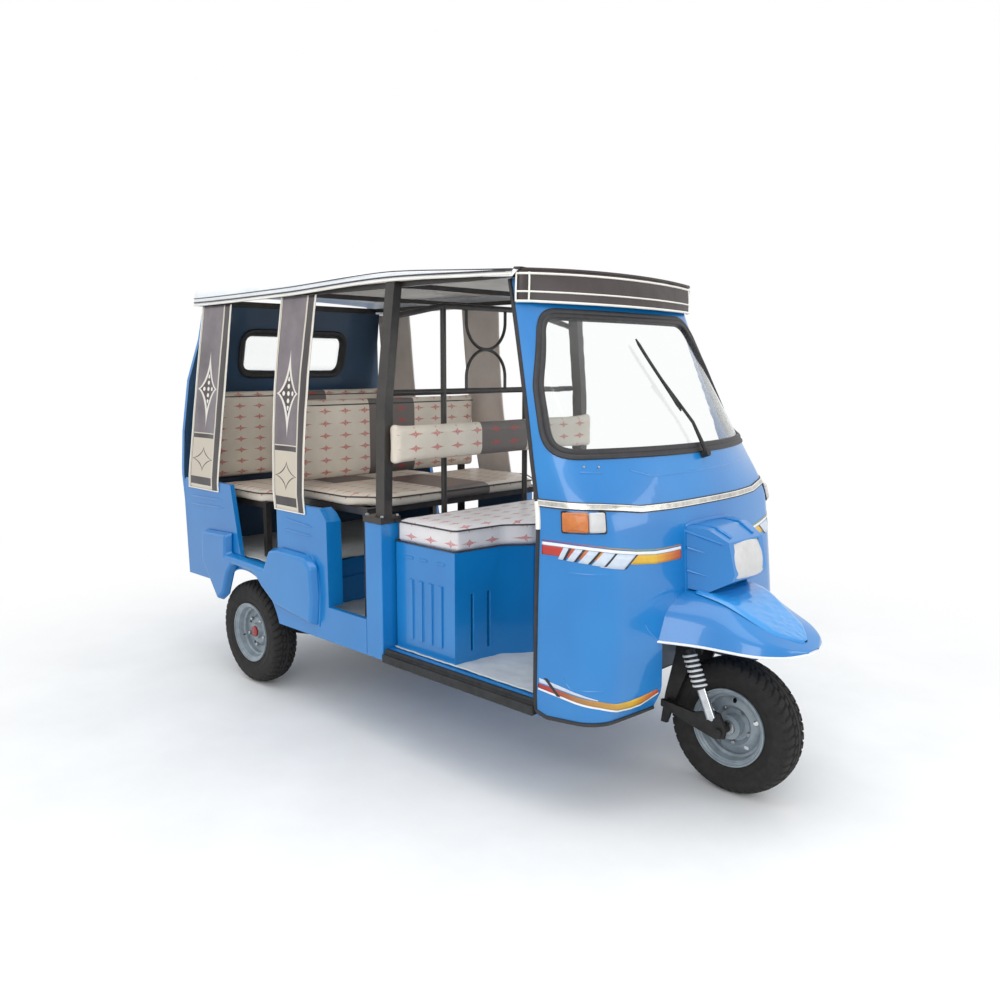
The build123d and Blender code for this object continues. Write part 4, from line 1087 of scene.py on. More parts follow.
def swept_on_cowl(line, section, closed=True):
    """Rows of a section of (across, lift) carried along a line of (s, z)."""
    count = len(line)
    rows = []
    for i in range(count):
        s, z = line[i]
        before = line[i - 1] if (i or closed) else line[i]
        after = line[(i + 1) % count] if (closed or i < count - 1) else line[i]
        along = (on_cowl(*after) - on_cowl(*before)).normalized()
        normal = cowl_normal(s, z)
        across = along.cross(normal).normalized()
        base = on_cowl(s, z)
        rows.append([at(*(base + across * a + normal * b)) for a, b in section])
    return rows


def strip_on_cowl(line, section):
    """Closed solid of a section carried along an open line on the cowl."""
    return solid(swept_on_cowl(line, section, False))


print("outline of the opening", len(opening_line(0)), "points")

# %% [markdown]
# The rear window's rubber is a plain oval cord round its own opening, on the wall's bent face.

# %% Rubbers of both windows
RUBBER_SECTION = [(-19, -6), (-19, 2), (-16, 5.5), (-10, 6.5), (-3, 5), (0, 3), (3, 5), (10, 6.5), (16, 5.5),
                  (19, 2), (19, -20), (-19, -20)]
shield_rubber = skin(swept_on_cowl(opening_line(12), RUBBER_SECTION), closed=True, loop=True)


def wall_x(z):
    """Outer face of the rear wall at a height."""
    return row_at([(455, -549), (829, -566), (1000, -588), (1180, -595), (1436, -562), (1684, -500),
                   (1802, -472)], z)[1]


def window_ring(inset):
    """Rounded outline of the rear window on the wall, moved inwards."""
    low, high, half, r = 1455 + inset, 1690 - inset, 327 - inset, 60 - inset * 0.6
    corners = [(0, 0, low), (0, half, low), (0, half, high), (0, -half, high), (0, -half, low), (0, 0, low)]
    path = rounded_path(corners, r * 1.3, 8)[:-1]
    return [Vector((wall_x(p.z), p.y, p.z)) for p in path]


def round_section(wide, thick, sides=12):
    """Oval section, half its width and half its thickness in millimetres."""
    return [(wide / 1000 * math.cos(2 * math.pi * k / sides),
             thick / 1000 * math.sin(2 * math.pi * k / sides)) for k in range(sides)]


rear_path = [at(p.x + 14, p.y, p.z) for p in window_ring(9)]
rear_rubber = skin(rings_along(rear_path, lambda i: round_section(25, 16), closed=True), closed=True,
                   loop=True)
piece("window_rubbers", [shield_rubber, rear_rubber], finish=edge_rubber, stands_for="window_gaskets",
      slot="rubber_black")

# %% [markdown]
# Both panes are sheets of toughened glass whose edges end inside the rubbers.

# %% Panes
glass_rows = []
glass_edges = opening_edges(8)
for k in range(61):
    z = GLASS_LOW + 8 + (GLASS_HIGH - GLASS_LOW - 16) * (1 - math.cos(math.pi * k / 60)) / 2
    reach = opening_limit(glass_edges, z)
    glass_rows.append([at(*on_cowl(reach * (i / 50 - 1), z, -9)) for i in range(101)])
front_pane = piece("window_panes", [skin(glass_rows)], finish=window_pane)
rear_pane = [[at(wall_x(z) + 8, y, z) for y in range(-315, 316, 35)] for z in (1466, 1520, 1580, 1640, 1680)]
back_glass = piece("rear_pane", [skin(rear_pane)], finish=window_pane)
for pane in (front_pane, back_glass):
    thickened(pane, PANE_MM, 0)
    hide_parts("window_glass")

# %% [markdown]
# ## Edge beading and the belt trim
# The cowl's door edge and lower edge carry a pushed-on rubber bead. A flat aluminium trim with
# a dark rubber base runs right round the front at belt height, and pressed ribs stiffen the
# flat parts of the skin. All of these follow lines of (s, z) on the cowl.

# %% Beading, trim and pressed ribs
def between(points, steps=8):
    """A line of (s, z) through the given points, with straight runs divided."""
    line = []
    for (a, b), (c, d) in zip(points, points[1:]):
        line += [(a + (c - a) * k / steps, b + (d - b) * k / steps) for k in range(steps)]
    return line + [points[-1]]


wheel_side = s_where(lambda x, y: y < 292, 345)
beads = []
for side in (-1, 1):
    down = [on_cowl(side, z, 0) for z in range(1808, 360, -24)]
    corner = [on_cowl(side * (1 - k * 0.012), 362 - k * 4, 0) for k in range(4)]
    under = [on_cowl(side * (0.95 + (wheel_side - 0.95) * k / 40), 346, 0) for k in range(41)]
    beads.append(bar([(p.x - 4 * (i < len(down)), p.y, p.z) for i, p in enumerate(down + corner + under)],
                     7.5, 8))
piece("cowl_edge_beading", beads, finish=edge_rubber)

TRIM_HALF = 13.5       # half the trim's width
NEAR_TRIM = [(-1.0, 1084), (-0.712, 1077), (-0.6, 1069), (-0.492, 1059), (-0.3, 1057)]
trim_line = [(s, z - TRIM_HALF) for s, z in between(NEAR_TRIM + [(0, 1058)] + mirrored(NEAR_TRIM))]
base = strip_on_cowl(trim_line, [(-TRIM_HALF, -2), (-TRIM_HALF, 2.5), (TRIM_HALF, 2.5), (TRIM_HALF, -2)])
face = strip_on_cowl(trim_line, [(-10.5, 2), (-10, 4.5), (-4, 5.2), (4, 5.2), (10, 4.5), (10.5, 2)])
lines = [strip_on_cowl(trim_line, [(a - 1.1, 4), (a - 1.1, 6), (a + 1.1, 6), (a + 1.1, 4)])
         for a in (-8.2, 8.2)]
piece("belt_trim", [(*base, 0), (*face, 1)] + [(*part, 2) for part in lines],
      finish=[edge_rubber, trim_alloy, film_white])
sleeve_edges = [[on_cowl(side, z) for z in range(984, 1084, 10)] for side in (-1, 1)]
piece("door_edge_sleeve", [bar([(p.x - 4, p.y, p.z) for p in edge], 9.5, 10) for edge in sleeve_edges],
      finish=cream_piping)

RIBS = [[(-0.857, 851), (-0.678, 847)], [(-0.867, 500), (-0.862, 480), (-0.839, 463), (-0.696, 465)],
        [(-0.509, 1171), (-0.40, 1150), (-0.329, 1147), (0.30, 1150), (0.505, 1162)],
        [(-0.78, 1170), (-0.669, 1167)], [(-0.477, 664), (-0.44, 628), (-0.391, 596)]]
RIB_SECTION = [(-6, -1.5), (-3, 1.2), (0, 2), (3, 1.2), (6, -1.5)]
piece("cowl_pressed_ribs", [strip_on_cowl(between(points), RIB_SECTION) for points in RIBS],
      finish=sky_enamel)
SCREW = [(0, 0.1), (0, 5), (3, 4.5), (4, 0.1)]
screws = [turned(SCREW, on_cowl(s, z), "X", 12) for s, z in ((-0.757, 1188), (-0.681, 1185))]
piece("cowl_screws", screws, finish=zinc_steel)

# %% [markdown]
# Printed films and quilted cloth need to know where on the piece they are. A layer of texture
# coordinates holds that for every corner of every face. The places are noted down while the
# points are made, and are looked up again once the faces have been joined.

# %% Texture coordinates by place
def spot(p):
    """A point's place to a hundredth of a millimetre, to look it up by."""
    return tuple(round(v, 5) for v in p)


def texture_places(obj, name, places):
    """A layer of texture coordinates that looks up each corner's place."""
    layer = obj.data.uv_layers.new(name=name)
    for loop in obj.data.loops:
        layer.data[loop.index].uv = places.get(spot(obj.data.vertices[loop.vertex_index].co), (0.5, 0.5))


print("texture coordinates are looked up by place, e.g.", spot(at(0, 0, 0)))

# %% [markdown]
# ## Stripes
# The stripes are cut from printed vinyl film and stuck on, so each has crisp edges and a real
# thickness of a few tenths of a millimetre. `film` lays strips between an upper and a lower
# line of (s, z). Its texture coordinates hold the place round the cowl, by which the printed
# colour changes from red over orange to yellow and back.

# %% Printed film on the cowl
FILM_MM = 0.4


def film(name, strips, finish, lift=0.6):
    """Strips of film, each between an upper and a lower line of (s, z), as one piece."""
    parts, places = [], {}
    for top, low in strips:
        rows = []
        for r in range(4):
            row = []
            for i in range(len(top) - 1):
                for k in range(12 + (i == len(top) - 2)):
                    u, t = k / 12, r / 3
                    s, z = [(top[i][m] * (1 - u) + top[i + 1][m] * u) * (1 - t)
                            + (low[i][m] * (1 - u) + low[i + 1][m] * u) * t for m in (0, 1)]
                    p = at(*on_cowl(s, z, lift))
                    places[spot(p)] = (abs(s), t)
                    row.append(p)
            rows.append(row)
        parts.append(skin(rows))
    obj = piece(name, parts, finish=finish)
    texture_places(obj, "round", places)
    return thickened(obj, FILM_MM, 0)


def lower(points, drop):
    """The same line further down."""
    return [(s, z - drop) for s, z in points]


def both_sides(strips):
    """The strips, and the same on the far side."""
    return strips + [tuple([(-s, z) for s, z in line] for line in strip) for strip in strips]


print("film", FILM_MM, "mm thick")

# %% [markdown]
# The upper stripe is a band of changing colour with a white edge and a thin line above it. Five
# slanted silver blocks lie on it, each with a black bar behind.

# %% Upper stripe
UPPER = [(-0.984, 945), (-0.884, 944), (-0.856, 943), (-0.796, 940), (-0.728, 934), (-0.654, 925),
         (-0.533, 910), (-0.411, 900), (-0.323, 899), (-0.229, 900)]
SLASHES = [(-0.880, -0.856, -0.882), (-0.828, -0.796, -0.833), (-0.770, -0.728, -0.773),
           (-0.707, -0.654, -0.705), (-0.650, -0.533, -0.606)]


def upper_z(s):
    """Height of the upper stripe's top edge."""
    return edge_at([(z, s) for s, z in UPPER], s)


BAND_TOP, SLASH_FOOT = 11, 51          # how far below the upper line they start and end
blocks, bars = [], []
for start, end, foot in SLASHES:
    top = [(start, upper_z(start) - BAND_TOP), (end, upper_z(end) - BAND_TOP)]
    low = [(start + foot - end, upper_z(start) - SLASH_FOOT), (foot, upper_z(end) - SLASH_FOOT)]
    blocks.append((top, low))
    bars.append(([top[1], (end + 0.012, top[1][1])], [low[1], (foot + 0.012, low[1][1])]))
film("stripe_colours", both_sides([(lower(UPPER, BAND_TOP), lower(UPPER, 42))]), printed_film)
film("stripe_white", both_sides([(UPPER, lower(UPPER, 10))]), film_white)
film("stripe_thin", both_sides([(lower(UPPER, -7), lower(UPPER, -3))]), film_thin)
film("stripe_silver", both_sides(blocks), film_silver, 1.1)
film("stripe_black", both_sides(bars), film_black, 1.5)

# %% [markdown]
# The lower stripe runs round the cowl's foot, with a tapering silver swoosh and a black slash.

# %% Lower stripe
LOWER_BOTTOM = [(-0.991, 440), (-0.885, 427), (-0.711, 404), (-0.628, 384), (-0.54, 376), (-0.48, 377),
                (-0.374, 403)]
LOWER_TOP = [(-0.991, 462), (-0.886, 452), (-0.712, 432), (-0.636, 418), (-0.56, 414), (-0.497, 416),
             (-0.388, 424)]
film("lower_stripe_colours", both_sides([(LOWER_TOP, lower(LOWER_BOTTOM, -7))]), printed_low)
film("lower_stripe_white", both_sides([(lower(LOWER_BOTTOM, -7), lower(LOWER_BOTTOM, 0))]), film_white)
SWOOSH_TOP = [(-0.986, 481), (-0.9, 470), (-0.8, 454), (-0.72, 437)]
SWOOSH_LOW = [(-0.986, 465), (-0.9, 457), (-0.8, 446), (-0.72, 434)]
film("lower_swoosh", both_sides([(SWOOSH_TOP, SWOOSH_LOW)]), film_silver)
SLASH_TOP, SLASH_LOW = [(-0.963, 484), (-0.945, 484)], [(-0.9, 430), (-0.882, 430)]
film("lower_slash", both_sides([(SLASH_TOP, SLASH_LOW)]), film_black, 1.3)

# %% [markdown]
# ## Front fender
# The fender is a beaked pressing over the front wheel, with battered sides, sloping shoulders
# and a raised pad along its crest. It is drawn as slices with rounded corners from the cowl to
# the tip. The pad is still under its wrinkled protective skin, and a white plastic tube is
# pushed over the lower edge.

# %% Fender from slices
FENDER = [   # x ahead of the front axle, lower edge, half width, shoulder, half width of the pad, crest
    (-172, 590, 330, 700, 155, 752), (-2, 585, 252, 675, 145, 724), (158, 578, 205, 628, 102, 646),
    (243, 574, 130, 600, 58, 603), (278, 572, 40, 580, 16, 583)]


def fender_slice(ahead):
    """Outline of the fender across the vehicle, so far ahead of the front axle."""
    _, low, half, shoulder, pad, top = row_at(FENDER, ahead)
    brow = half - 0.45 * (shoulder - low)
    corners = [(0, -half, low), (0, -brow, shoulder), (0, -pad, top), (0, pad, top), (0, brow, shoulder),
               (0, half, low)]
    return [at(WHEELBASE + ahead, p.y, p.z) for p in rounded_path(corners, 38, 8)]


slices = [-172 + 444 * (i / 36) for i in range(37)] + [275, 278]
fender = piece("front_fender_skin", [skin([fender_slice(a) for a in slices])], finish=sky_enamel,
               stands_for="front_fender", slot="body_blue")
thickened(fender, 6, -1, even=True)
tidy_mesh(fender.data, 40)

pad_rows = []
for i in range(53):
    ahead = -118 + 366 * i / 52
    _, _, _, shoulder, pad, top = row_at(FENDER, ahead)
    half = (pad + 3) * min(1.0, ((250 - ahead) / 60) ** 0.5) * min(1.0, 0.75 + 0.25 * (ahead + 118) / 30)
    row = []
    for k in range(31):
        u = -1 + 2 * k / 30
        crease = 2.6 * noise.noise(Vector((ahead / 9, u * 3.2, 4.0)))
        crease += 1.5 * noise.noise(Vector((ahead / 4.5, u * 6, 9.0)))
        rise = 11 * min(1.0, (1 - abs(u)) * 9) ** 0.5 + (crease if abs(u) < 0.88 else 0)
        row.append(at(WHEELBASE + ahead, u * half, top - 2.5 + rise))
    pad_rows.append(row)
piece("fender_crest_pad", [skin(pad_rows)], finish=wrapped_enamel)
low_edge = [(WHEELBASE + a, -row_at(FENDER, a)[2] - 1, row_at(FENDER, a)[1] + 1)
            for a in range(-168, 276, 12)]
low_edge.append((WHEELBASE + 279, -30, 573))
piece("fender_edge_tube", [bar(low_edge + [(x, -y, z) for x, y, z in reversed(low_edge)], 4.6, 8)],
      finish=film_white)

# %% [markdown]
# ## Headlamp
# The lamp's housing is a moulded wedge on the cowl with a wide clear lens that wraps round its
# front. Behind the lens sit a chrome bowl and a bulb. A flange seats the housing on the cowl,
# and pressed flutes and raised borders stiffen its sides and top.

# %% Housing, lens and bowls
softened("headlamp_housing", 10, sky_enamel, segments=5)
LENS = [   # height, x of its rear edge, x of its front at the middle, half width
    (796, -6, 42, 92), (803, -6, 43, 100), (830, -8, 41, 102), (862, -12, 35, 102), (895, -20, 25, 101),
    (912, -24, 18, 98), (920, -24, 8, 90)]
LENS_BOW = 14          # how far the lens's middle stands ahead of its corners
lens_rows = []
for z, rear, front, half in [row_at(LENS, 796 + 124 * k / 20) for k in range(21)]:
    edge = front - LENS_BOW
    bowed = [(front - LENS_BOW * (u / 6)**2, half * u / 6, 0) for u in range(-5, 6)]
    smooth = rounded_path([(rear, -half, 0), (edge, -half, 0)] + bowed + [(edge, half, 0), (rear, half, 0)],
                          12, 3)
    lens_rows.append([at(WHEELBASE + p.x, p.y, z) for p in smooth])
piece("headlamp_lens_wrap", [solid(lens_rows)], finish=clear_lens, stands_for="headlamp_lens",
      slot="lamp_clear", sharp=50)
BOWL = [(-34, 10), (-30, 22), (-18, 38), (2, 47), (4, 49), (-16, 42), (-34, 24)]
BULB = [(-30, 0.2), (-30, 9), (-14, 9), (-4, 6), (0, 0.2)]
bowls = []
for y in (-46, 46):
    middle = (WHEELBASE - 4, y, 858)
    bowls += [(*turned(BOWL, middle, "X", 32), 0), (*turned(BULB, middle, "X", 16), 1)]
piece("headlamp_bowls", bowls, finish=[hard_chrome, amber_lens])

# %% [markdown]
# The flange follows the housing's outline where it meets the cowl. The ridges are bars sunk half
# way into the surface.

# %% Flange and ridges
NEAR_RIM = [(-150, 724), (-150, 800), (-150, 880), (-150, 952), (-140, 966), (-110, 972)]
HOUSING_RIM = NEAR_RIM + [(0, 974)] + mirrored(NEAR_RIM)      # y and height of the flange


def cowl_at_y(y, z):
    """How far round the cowl a distance from the middle is, at a height."""
    return math.copysign(s_where(lambda _, across: across < abs(y), z), y)


rim_line = between([(cowl_at_y(y, z), z) for y, z in HOUSING_RIM], 6)
flange = strip_on_cowl(rim_line, [(-9, -2), (-8, 3), (0, 5), (8, 4), (10, -2)])
piece("headlamp_flange", [flange], finish=sky_enamel, slot="body_blue")


def housing_side(ahead, z, out=0.0):
    """Point on the housing's side, whose half width narrows forwards."""
    half = 150 + (104 - 150) * (ahead + 132) / 180
    return (WHEELBASE + ahead, -(half + out), z)


def top_ridge(side):
    """Ridge along the housing's top, which narrows forwards and falls from about its middle on."""
    path = []
    for a in range(-140, 4, 9):
        across = 0.62 * (150 - (a + 132) * 0.255)
        path.append((WHEELBASE + a, side * across, 964 - max(0, a + 62) * 0.55))
    return bar(path, 5, 8)


near_side = []
for z0, start, end in ((892, -128, -62), (812, -128, -58)):
    path = [housing_side(start + (end - start) * k / 10, z0 - 1.4 * k, 0.5) for k in range(11)]
    near_side.append(bar(path, [6 - 0.5 * k for k in range(11)], 8))
near_side.append(bar([housing_side(a, 950 - (a + 140) * 0.27, -2) for a in range(-140, 0, 10)], 6, 8))
far_side = [([Vector((p.x, -p.y, p.z)) for p in points], faces) for points, faces in near_side]
piece("headlamp_ridges", near_side + [top_ridge(-1), top_ridge(1)] + far_side, finish=sky_enamel)

# %% [markdown]
# An indicator has an amber and a clear lens side by side on a dark bezel that fits the cowl.

# %% Tail lamps and indicators
softened("tail_lamps", 5, red_lens, segments=3)


def boss(s0, s1, z0, z1, height, edge=6.0):
    """Rounded block standing on the cowl between two places and two heights."""
    full = cowl_outline((z0 + z1) / 2)[2]
    rows = []
    for lift, inset in ((-3, 0), (height * 0.55, 0), (height * 0.85, edge * 0.35), (height, edge)):
        a, b, low, high = s0 * full + inset, s1 * full - inset, z0 + inset, z1 - inset
        middle = ((a + b) / 2, low, 0)
        ring = rounded_path([middle, (b, low, 0), (b, high, 0), (a, high, 0), (a, low, 0), middle], 8, 4)[:-1]
        rows.append([at(*on_cowl(p.x / full, p.y, lift)) for p in ring])
    return solid(rows)


lamps = []
for side in (-1, 1):
    for number, ends in enumerate(((0.884, 0.773), (0.772, 0.701))):
        lamps.append((*boss(*sorted(side * s for s in ends), 984, 1046, 15), number))
piece("indicator_lenses", lamps, finish=[amber_lens, clear_lens], stands_for="indicator_lamps",
      slot="lamp_amber")
bezels = [boss(*sorted((side * 0.892, side * 0.693)), 979, 1051, 5, 2) for side in (-1, 1)]
piece("indicator_bezels", bezels, finish=dash_plastic)

# %% [markdown]
# The wiper is a flat arm on a spindle below the glass, with a blade that leans across the pane.
# Both follow the cowl's surface at a small height above it.

# %% Wiper
ARM = [on_cowl(0.03, 1204, 22), on_cowl(0.015, 1304, 20), on_cowl(-0.045, 1462, 18)]
BLADE = [on_cowl(-0.02 - 0.02 * k / 12, 1348 + 258 * k / 12, 12) for k in range(13)]
SPINDLE = [on_cowl(0.034, 1200, 2), on_cowl(0.034, 1200, 30)]
wiper_parts = [bar(ARM, [8, 6, 5], 8), bar(BLADE, [3] + [6] * 11 + [3], 8), bar(SPINDLE, 13, 16)]
piece("wiper_arm_and_blade", wiper_parts, finish=dash_plastic, stands_for="wiper")
print("blade", round((BLADE[-1] - BLADE[0]).length), "mm long")

# %% [markdown]
# ## Side panels, post boxes, wheel guards and the rear wall
# These are double-skinned sheet boxes. Only their edges need to change: a folded edge has a
# radius of a few millimetres, and the guards over the rear wheels are drawn with a large one.
# Faces that look inwards get a darker navy copy of the enamel as the second finish, which paints in the shade
# inside the shell.

# %% Rounded body panels
def lined(obj, test):
    """Give the second finish to the faces that a test picks by centre, in vehicle millimetres, and normal."""
    for face in obj.data.polygons:
        centre = face.center * 1000
        if test(Vector((centre.x + MID_X, centre.y, centre.z)), face.normal):
            face.material_index = 1


panels = softened("side_panels", 7, [sky_enamel, navy_painted_shade], segments=4)
# Inward faces of the side panels get the navy painted shade.
lined(panels, lambda p, n: n.y * p.y < -1 and abs(n.y) > 0.7 and abs(p.y) < 638)
softened("wheel_flares", 12, sky_enamel, segments=5)
softened("door_post_boxes", 4, sky_enamel)
wall = softened("rear_wall", 7, [sky_enamel, navy_painted_shade], segments=4)
# The rear wall's cabin side and inner edges get the navy painted shade.
lined(wall, lambda p, n: n.x > 0.35 or (abs(n.y) > 0.6 and abs(p.y) < 500))
softened("step_boards", 4, dash_plastic)

FLUTES = ((-499, -182, 861, 868), (-493, -174, 821, 831), (357, 564, 845, 830), (354, 562, 796, 790))
FLARE_EDGE = ((505, 712), (560, 700), (596, 640), (612, 531), (600, 402))
panel_ribs = []
for x0, x1, z0, z1 in FLUTES:
    for side in (-1, 1):
        path = [(x0 + (x1 - x0) * k / 8, side * HALF_W, z0 + (z1 - z0) * k / 8) for k in range(9)]
        panel_ribs.append(bar(path, [2] + [5.5] * 7 + [2], 8))
for side in (-1, 1):
    panel_ribs.append(bar([(x, side * HALF_W, z) for x, z in FLARE_EDGE], 6, 8))
piece("panel_pressed_ribs", panel_ribs, finish=sky_enamel)
BOLT = [(0, 0.1), (0, 8), (6, 8), (8, 5), (8, 0.1)]
bolts = [turned(BOLT, (x, side * y, 925), "Z", 6)
         for side in (-1, 1) for x in (936, 1030) for y in (556, 630)]
piece("post_foot_bolts", bolts, finish=zinc_steel, sharp=20)

# %% [markdown]
# ## The roof
# The roof is one coated cloth stretched over five bows. Between bows it sags a little, and at
# its long edges it is turned over a rail. In front it runs out to the visor's rounded edge,
# where a dark strip is sewn over it. A headlining hangs just beneath it, and piping is sewn
# along the lower edge of each side.

# %% Roof cloth over its bows
ROOF = [   # x, half width, lower edge, top of the side, crown
    (-552, 548, 1806, 1846, 1862), (-505, 562, 1803, 1886, 1904), (250, 562, 1812, 1880, 1906),
    (1000, 562, 1834, 1872, 1896), (1480, 548, 1824, 1850, 1872), (1790, 538, 1816, 1834, 1846)]
BOWS = (-505, -472, 312, 997, 1612, 1690)
VISOR = [(1731, 1570, 544, 1666, 514, 1732, 60), (1856, 1570, 544, 1660, 514, 1707, 60)]
VISOR_BACK = 1640.0


def visor_outline(z, lift=0.0, count=72):
    """Plan line of the visor at a height, from its near rear edge round to the far one."""
    t = (z - VISOR[0][0]) / (VISOR[1][0] - VISOR[0][0])
    half = bowed_plan([a + (b - a) * t for a, b in zip(*VISOR)])
    ahead = [p for p in half if p.x > VISOR_BACK + 1]
    last = half[len(ahead)]
    share = (ahead[-1].x - VISOR_BACK) / (ahead[-1].x - last.x)
    ahead.append(ahead[-1].lerp(last, share))
    line = [Vector((p.x, -p.y, z)) for p in reversed(ahead)] + [Vector((p.x, p.y, z)) for p in ahead[1:]]
    lengths = [0.0]
    for a, b in zip(line, line[1:]):
        lengths.append(lengths[-1] + (b - a).length)
    path = []
    for k in range(count + 1):
        reach = lengths[-1] * k / count
        i = min(bisect.bisect_right(lengths, reach) - 1, len(line) - 2)
        path.append(line[i].lerp(line[i + 1], (reach - lengths[i]) / max(lengths[i + 1] - lengths[i], 1e-9)))
    moved = []
    for i, p in enumerate(path):
        way = (path[min(i + 1, count)] - path[max(i - 1, 0)]).normalized()
        moved.append(p + Vector((way.y, -way.x, 0)) * lift)
    return moved


def roof_slice(x, inset=0.0):
    """Points of the cloth from one lower edge over the crown to the other; inset gives the lining's."""
    _, half, low, side, crown = row_at(ROOF, x)
    near = [(b - a, (x - a) / (b - a)) for a, b in zip(BOWS, BOWS[1:]) if a <= x <= b]
    sag = 9 * min(near[0][0] / 700, 1) * 4 * near[0][1] * (1 - near[0][1]) if near else 0
    half, side, crown = half - inset, side - inset, crown - inset
    radius = 26 if inset == 0 else 14
    near_half = [(half, low), (half, (low + side - radius) / 2), (half, side - radius)]
    for k in range(1, 6):
        turn = math.pi * k / 12
        near_half.append((half - radius + radius * math.cos(turn), side - radius + radius * math.sin(turn)))
    middle = []
    for k in range(33):
        t = -1 + k / 16
        wrinkle = 1.8 * noise.noise(Vector((x / 60, t * 3, 2.0))) * (1 - t**6) if inset == 0 else 0
        middle.append((t * (half - radius), side + (crown - side) * (1 - t * t) - sag * (1 - t**4) + wrinkle))
    near = [(-y, z) for y, z in near_half]
    return [at(x, y, z) for y, z in near + middle + mirrored(near)]


print("a slice of the roof has", len(roof_slice(0)), "points")

# %% [markdown]
# Cloth is cut flat. `flat_size` measures how large a sheet would lie, and `cloth_sheet` gives
# a sheet its thickness.

# %% Cloth sheets
def flat_size(rows):
    """Width and length that a grid of points would have laid out flat, and its area."""
    wide = max(sum((b - a).length for a, b in zip(row, row[1:])) for row in rows)
    long = max(sum((q[c] - p[c]).length for p, q in zip(rows, rows[1:])) for c in range(len(rows[0])))
    area = 0.0
    for p, q in zip(rows, rows[1:]):
        for c in range(len(p) - 1):
            area += (p[c + 1] - p[c]).cross(q[c] - p[c]).length / 2
            area += (q[c + 1] - q[c]).cross(q[c + 1] - p[c + 1]).length / 2
    return wide, long, area


def cloth_sheet(obj, thickness=3.0, offset=-1):
    thickened(obj, thickness, offset)
    return obj


print("a square metre measures", flat_size([[Vector((x, y, 0)) for x in (0, 1)] for y in (0, 1)]))

# %% [markdown]
# The cloth is laid slice by slice from the rear lip forwards and closes onto the visor's upper
# edge. The lining is a second, smaller sheet under the same bows.

# %% Lay the roof cloth
back_stations = [-552, -548, -538, -522] + [-505 + (VISOR_BACK + 505) * i / 66 for i in range(67)]
roof_rows = [roof_slice(x) for x in back_stations]
start_row = roof_slice(VISOR_BACK)
count = len(start_row)
front_line = visor_outline(1846, 3, count - 1)
for k in range(1, 9):
    t = k / 8
    row = []
    for p, q in zip(start_row, front_line):
        x = p.x * 1000 + MID_X + (q.x - p.x * 1000 - MID_X) * t
        y = p.y * 1000 + (q.y - p.y * 1000) * t
        _, half, low, side, crown = row_at(ROOF, x)
        top = side + (crown - side) * (1 - min(1, abs(y) / half)**2) + 1
        row.append(at(x, y, p.z * 1000 + (top - p.z * 1000) * min(1, t * 3)))
    roof_rows.append(row)
roof_rows.append([Vector((p.x, p.y, p.z - 0.009)) for p in roof_rows[-1]])
canopy = piece("roof_cloth", [skin(roof_rows)], finish=[roof_vinyl, visor_vinyl], stands_for="canopy_top",
               slot="canopy_vinyl")
lined(canopy, lambda p, n: p.x > 1530 and p.z > 1834)
cloth_sheet(canopy)
lining_rows = [roof_slice(x, 14)[8:-8] for x in back_stations[4:]]
lining = piece("headlining", [skin(lining_rows)], finish=headlining, slot="canopy_vinyl")
cloth_sheet(lining, 2)
print("roof rows", len(roof_rows), "lining rows", len(lining_rows))

# %% [markdown]
# Three cords run along each side of the roof, and one closes the lip behind.

# %% Piping along the roof
seams = []
for side in (-1, 1):
    xs = list(range(-548, 1640, 24)) + [1640]
    for drop, radius, tone in ((2, 5.0, 1), (14, 3.2, 0), (34, 2.2, 0)):
        path = []
        for x in xs:
            _, half, low, top, _ = row_at(ROOF, x)
            path.append((x, side * (half + 1), min(low + drop, top - 4)))
        seams.append((*bar(path, radius, 8), tone))
seams.append((*bar([(-552, -548 + 1096 * k / 24, 1808) for k in range(25)], 5, 8), 1))
piece("roof_side_piping", seams, finish=[dark_piping, cream_piping])

# %% [markdown]
# The visor is a strip of darker vinyl round the roof's front, from its lower edge up to the roof
# cloth. Three lines of cream piping are sewn along it and two across it at each end.

# %% Visor around the front of the roof
VISOR_COLUMNS, VISOR_ROWS = 72, 14
visor_rows = []
outer = visor_outline(1846)
for k in range(VISOR_ROWS + 1):
    t = k / VISOR_ROWS
    row = []
    for c in range(VISOR_COLUMNS + 1):
        edge = row_at(ROOF, min(outer[c].x, 1780))
        top = edge[3] + (edge[4] - edge[3]) * (1 - min(1, abs(outer[c].y) / edge[1])**2) - 3
        z = 1731 + (top - 1731) * t
        swell = 3.0 * math.sin(math.pi * t) + 1.6 * noise.noise(Vector((c / 4, t * 2, 1.0)))
        row.append(at(*visor_outline(z, swell)[c]))
    visor_rows.append(row)
visor = piece("visor_cloth", [skin(visor_rows)], finish=visor_vinyl, stands_for="canopy_visor",
              slot="visor_vinyl")
cloth_sheet(visor, 4)


def visor_line(t, lift, start=0, end=VISOR_COLUMNS):
    """Path over the visor at a share of its height."""
    k = t * VISOR_ROWS
    i = min(int(k), VISOR_ROWS - 1)
    path = []
    for c in range(start, end + 1):
        p = visor_rows[i][c].lerp(visor_rows[i + 1][c], k - i) * 1000
        centre = Vector((1500 - MID_X, 0, p.z))
        out = (p - centre).normalized() * lift
        path.append((p.x + out.x + MID_X, p.y + out.y, p.z))
    return path


pipes = [bar(visor_line(t, 1.5), r, 8) for t, r in ((0.86, 4.0), (0.31, 3.2), (0.015, 4.6))]
for column in (0, 3, VISOR_COLUMNS - 3, VISOR_COLUMNS):
    pipes.append(bar([visor_line(t / 10, 2, column, column)[0] for t in range(10)], 3.4, 8))
piece("visor_piping", pipes, finish=cream_piping)
print("roof and visor done")

# %% [markdown]
# ## Curtains
# Two strips hang on each side, from the roof's rail to below the panels' edge. They are quilted
# vinyl: a dark field with a four-pointed star above, a cream field with a smaller star below,
# and sewn borders. Each strip carries two sets of texture coordinates: its own flat measure in
# metres, and the share of its width and height, by which the borders and stars are placed.

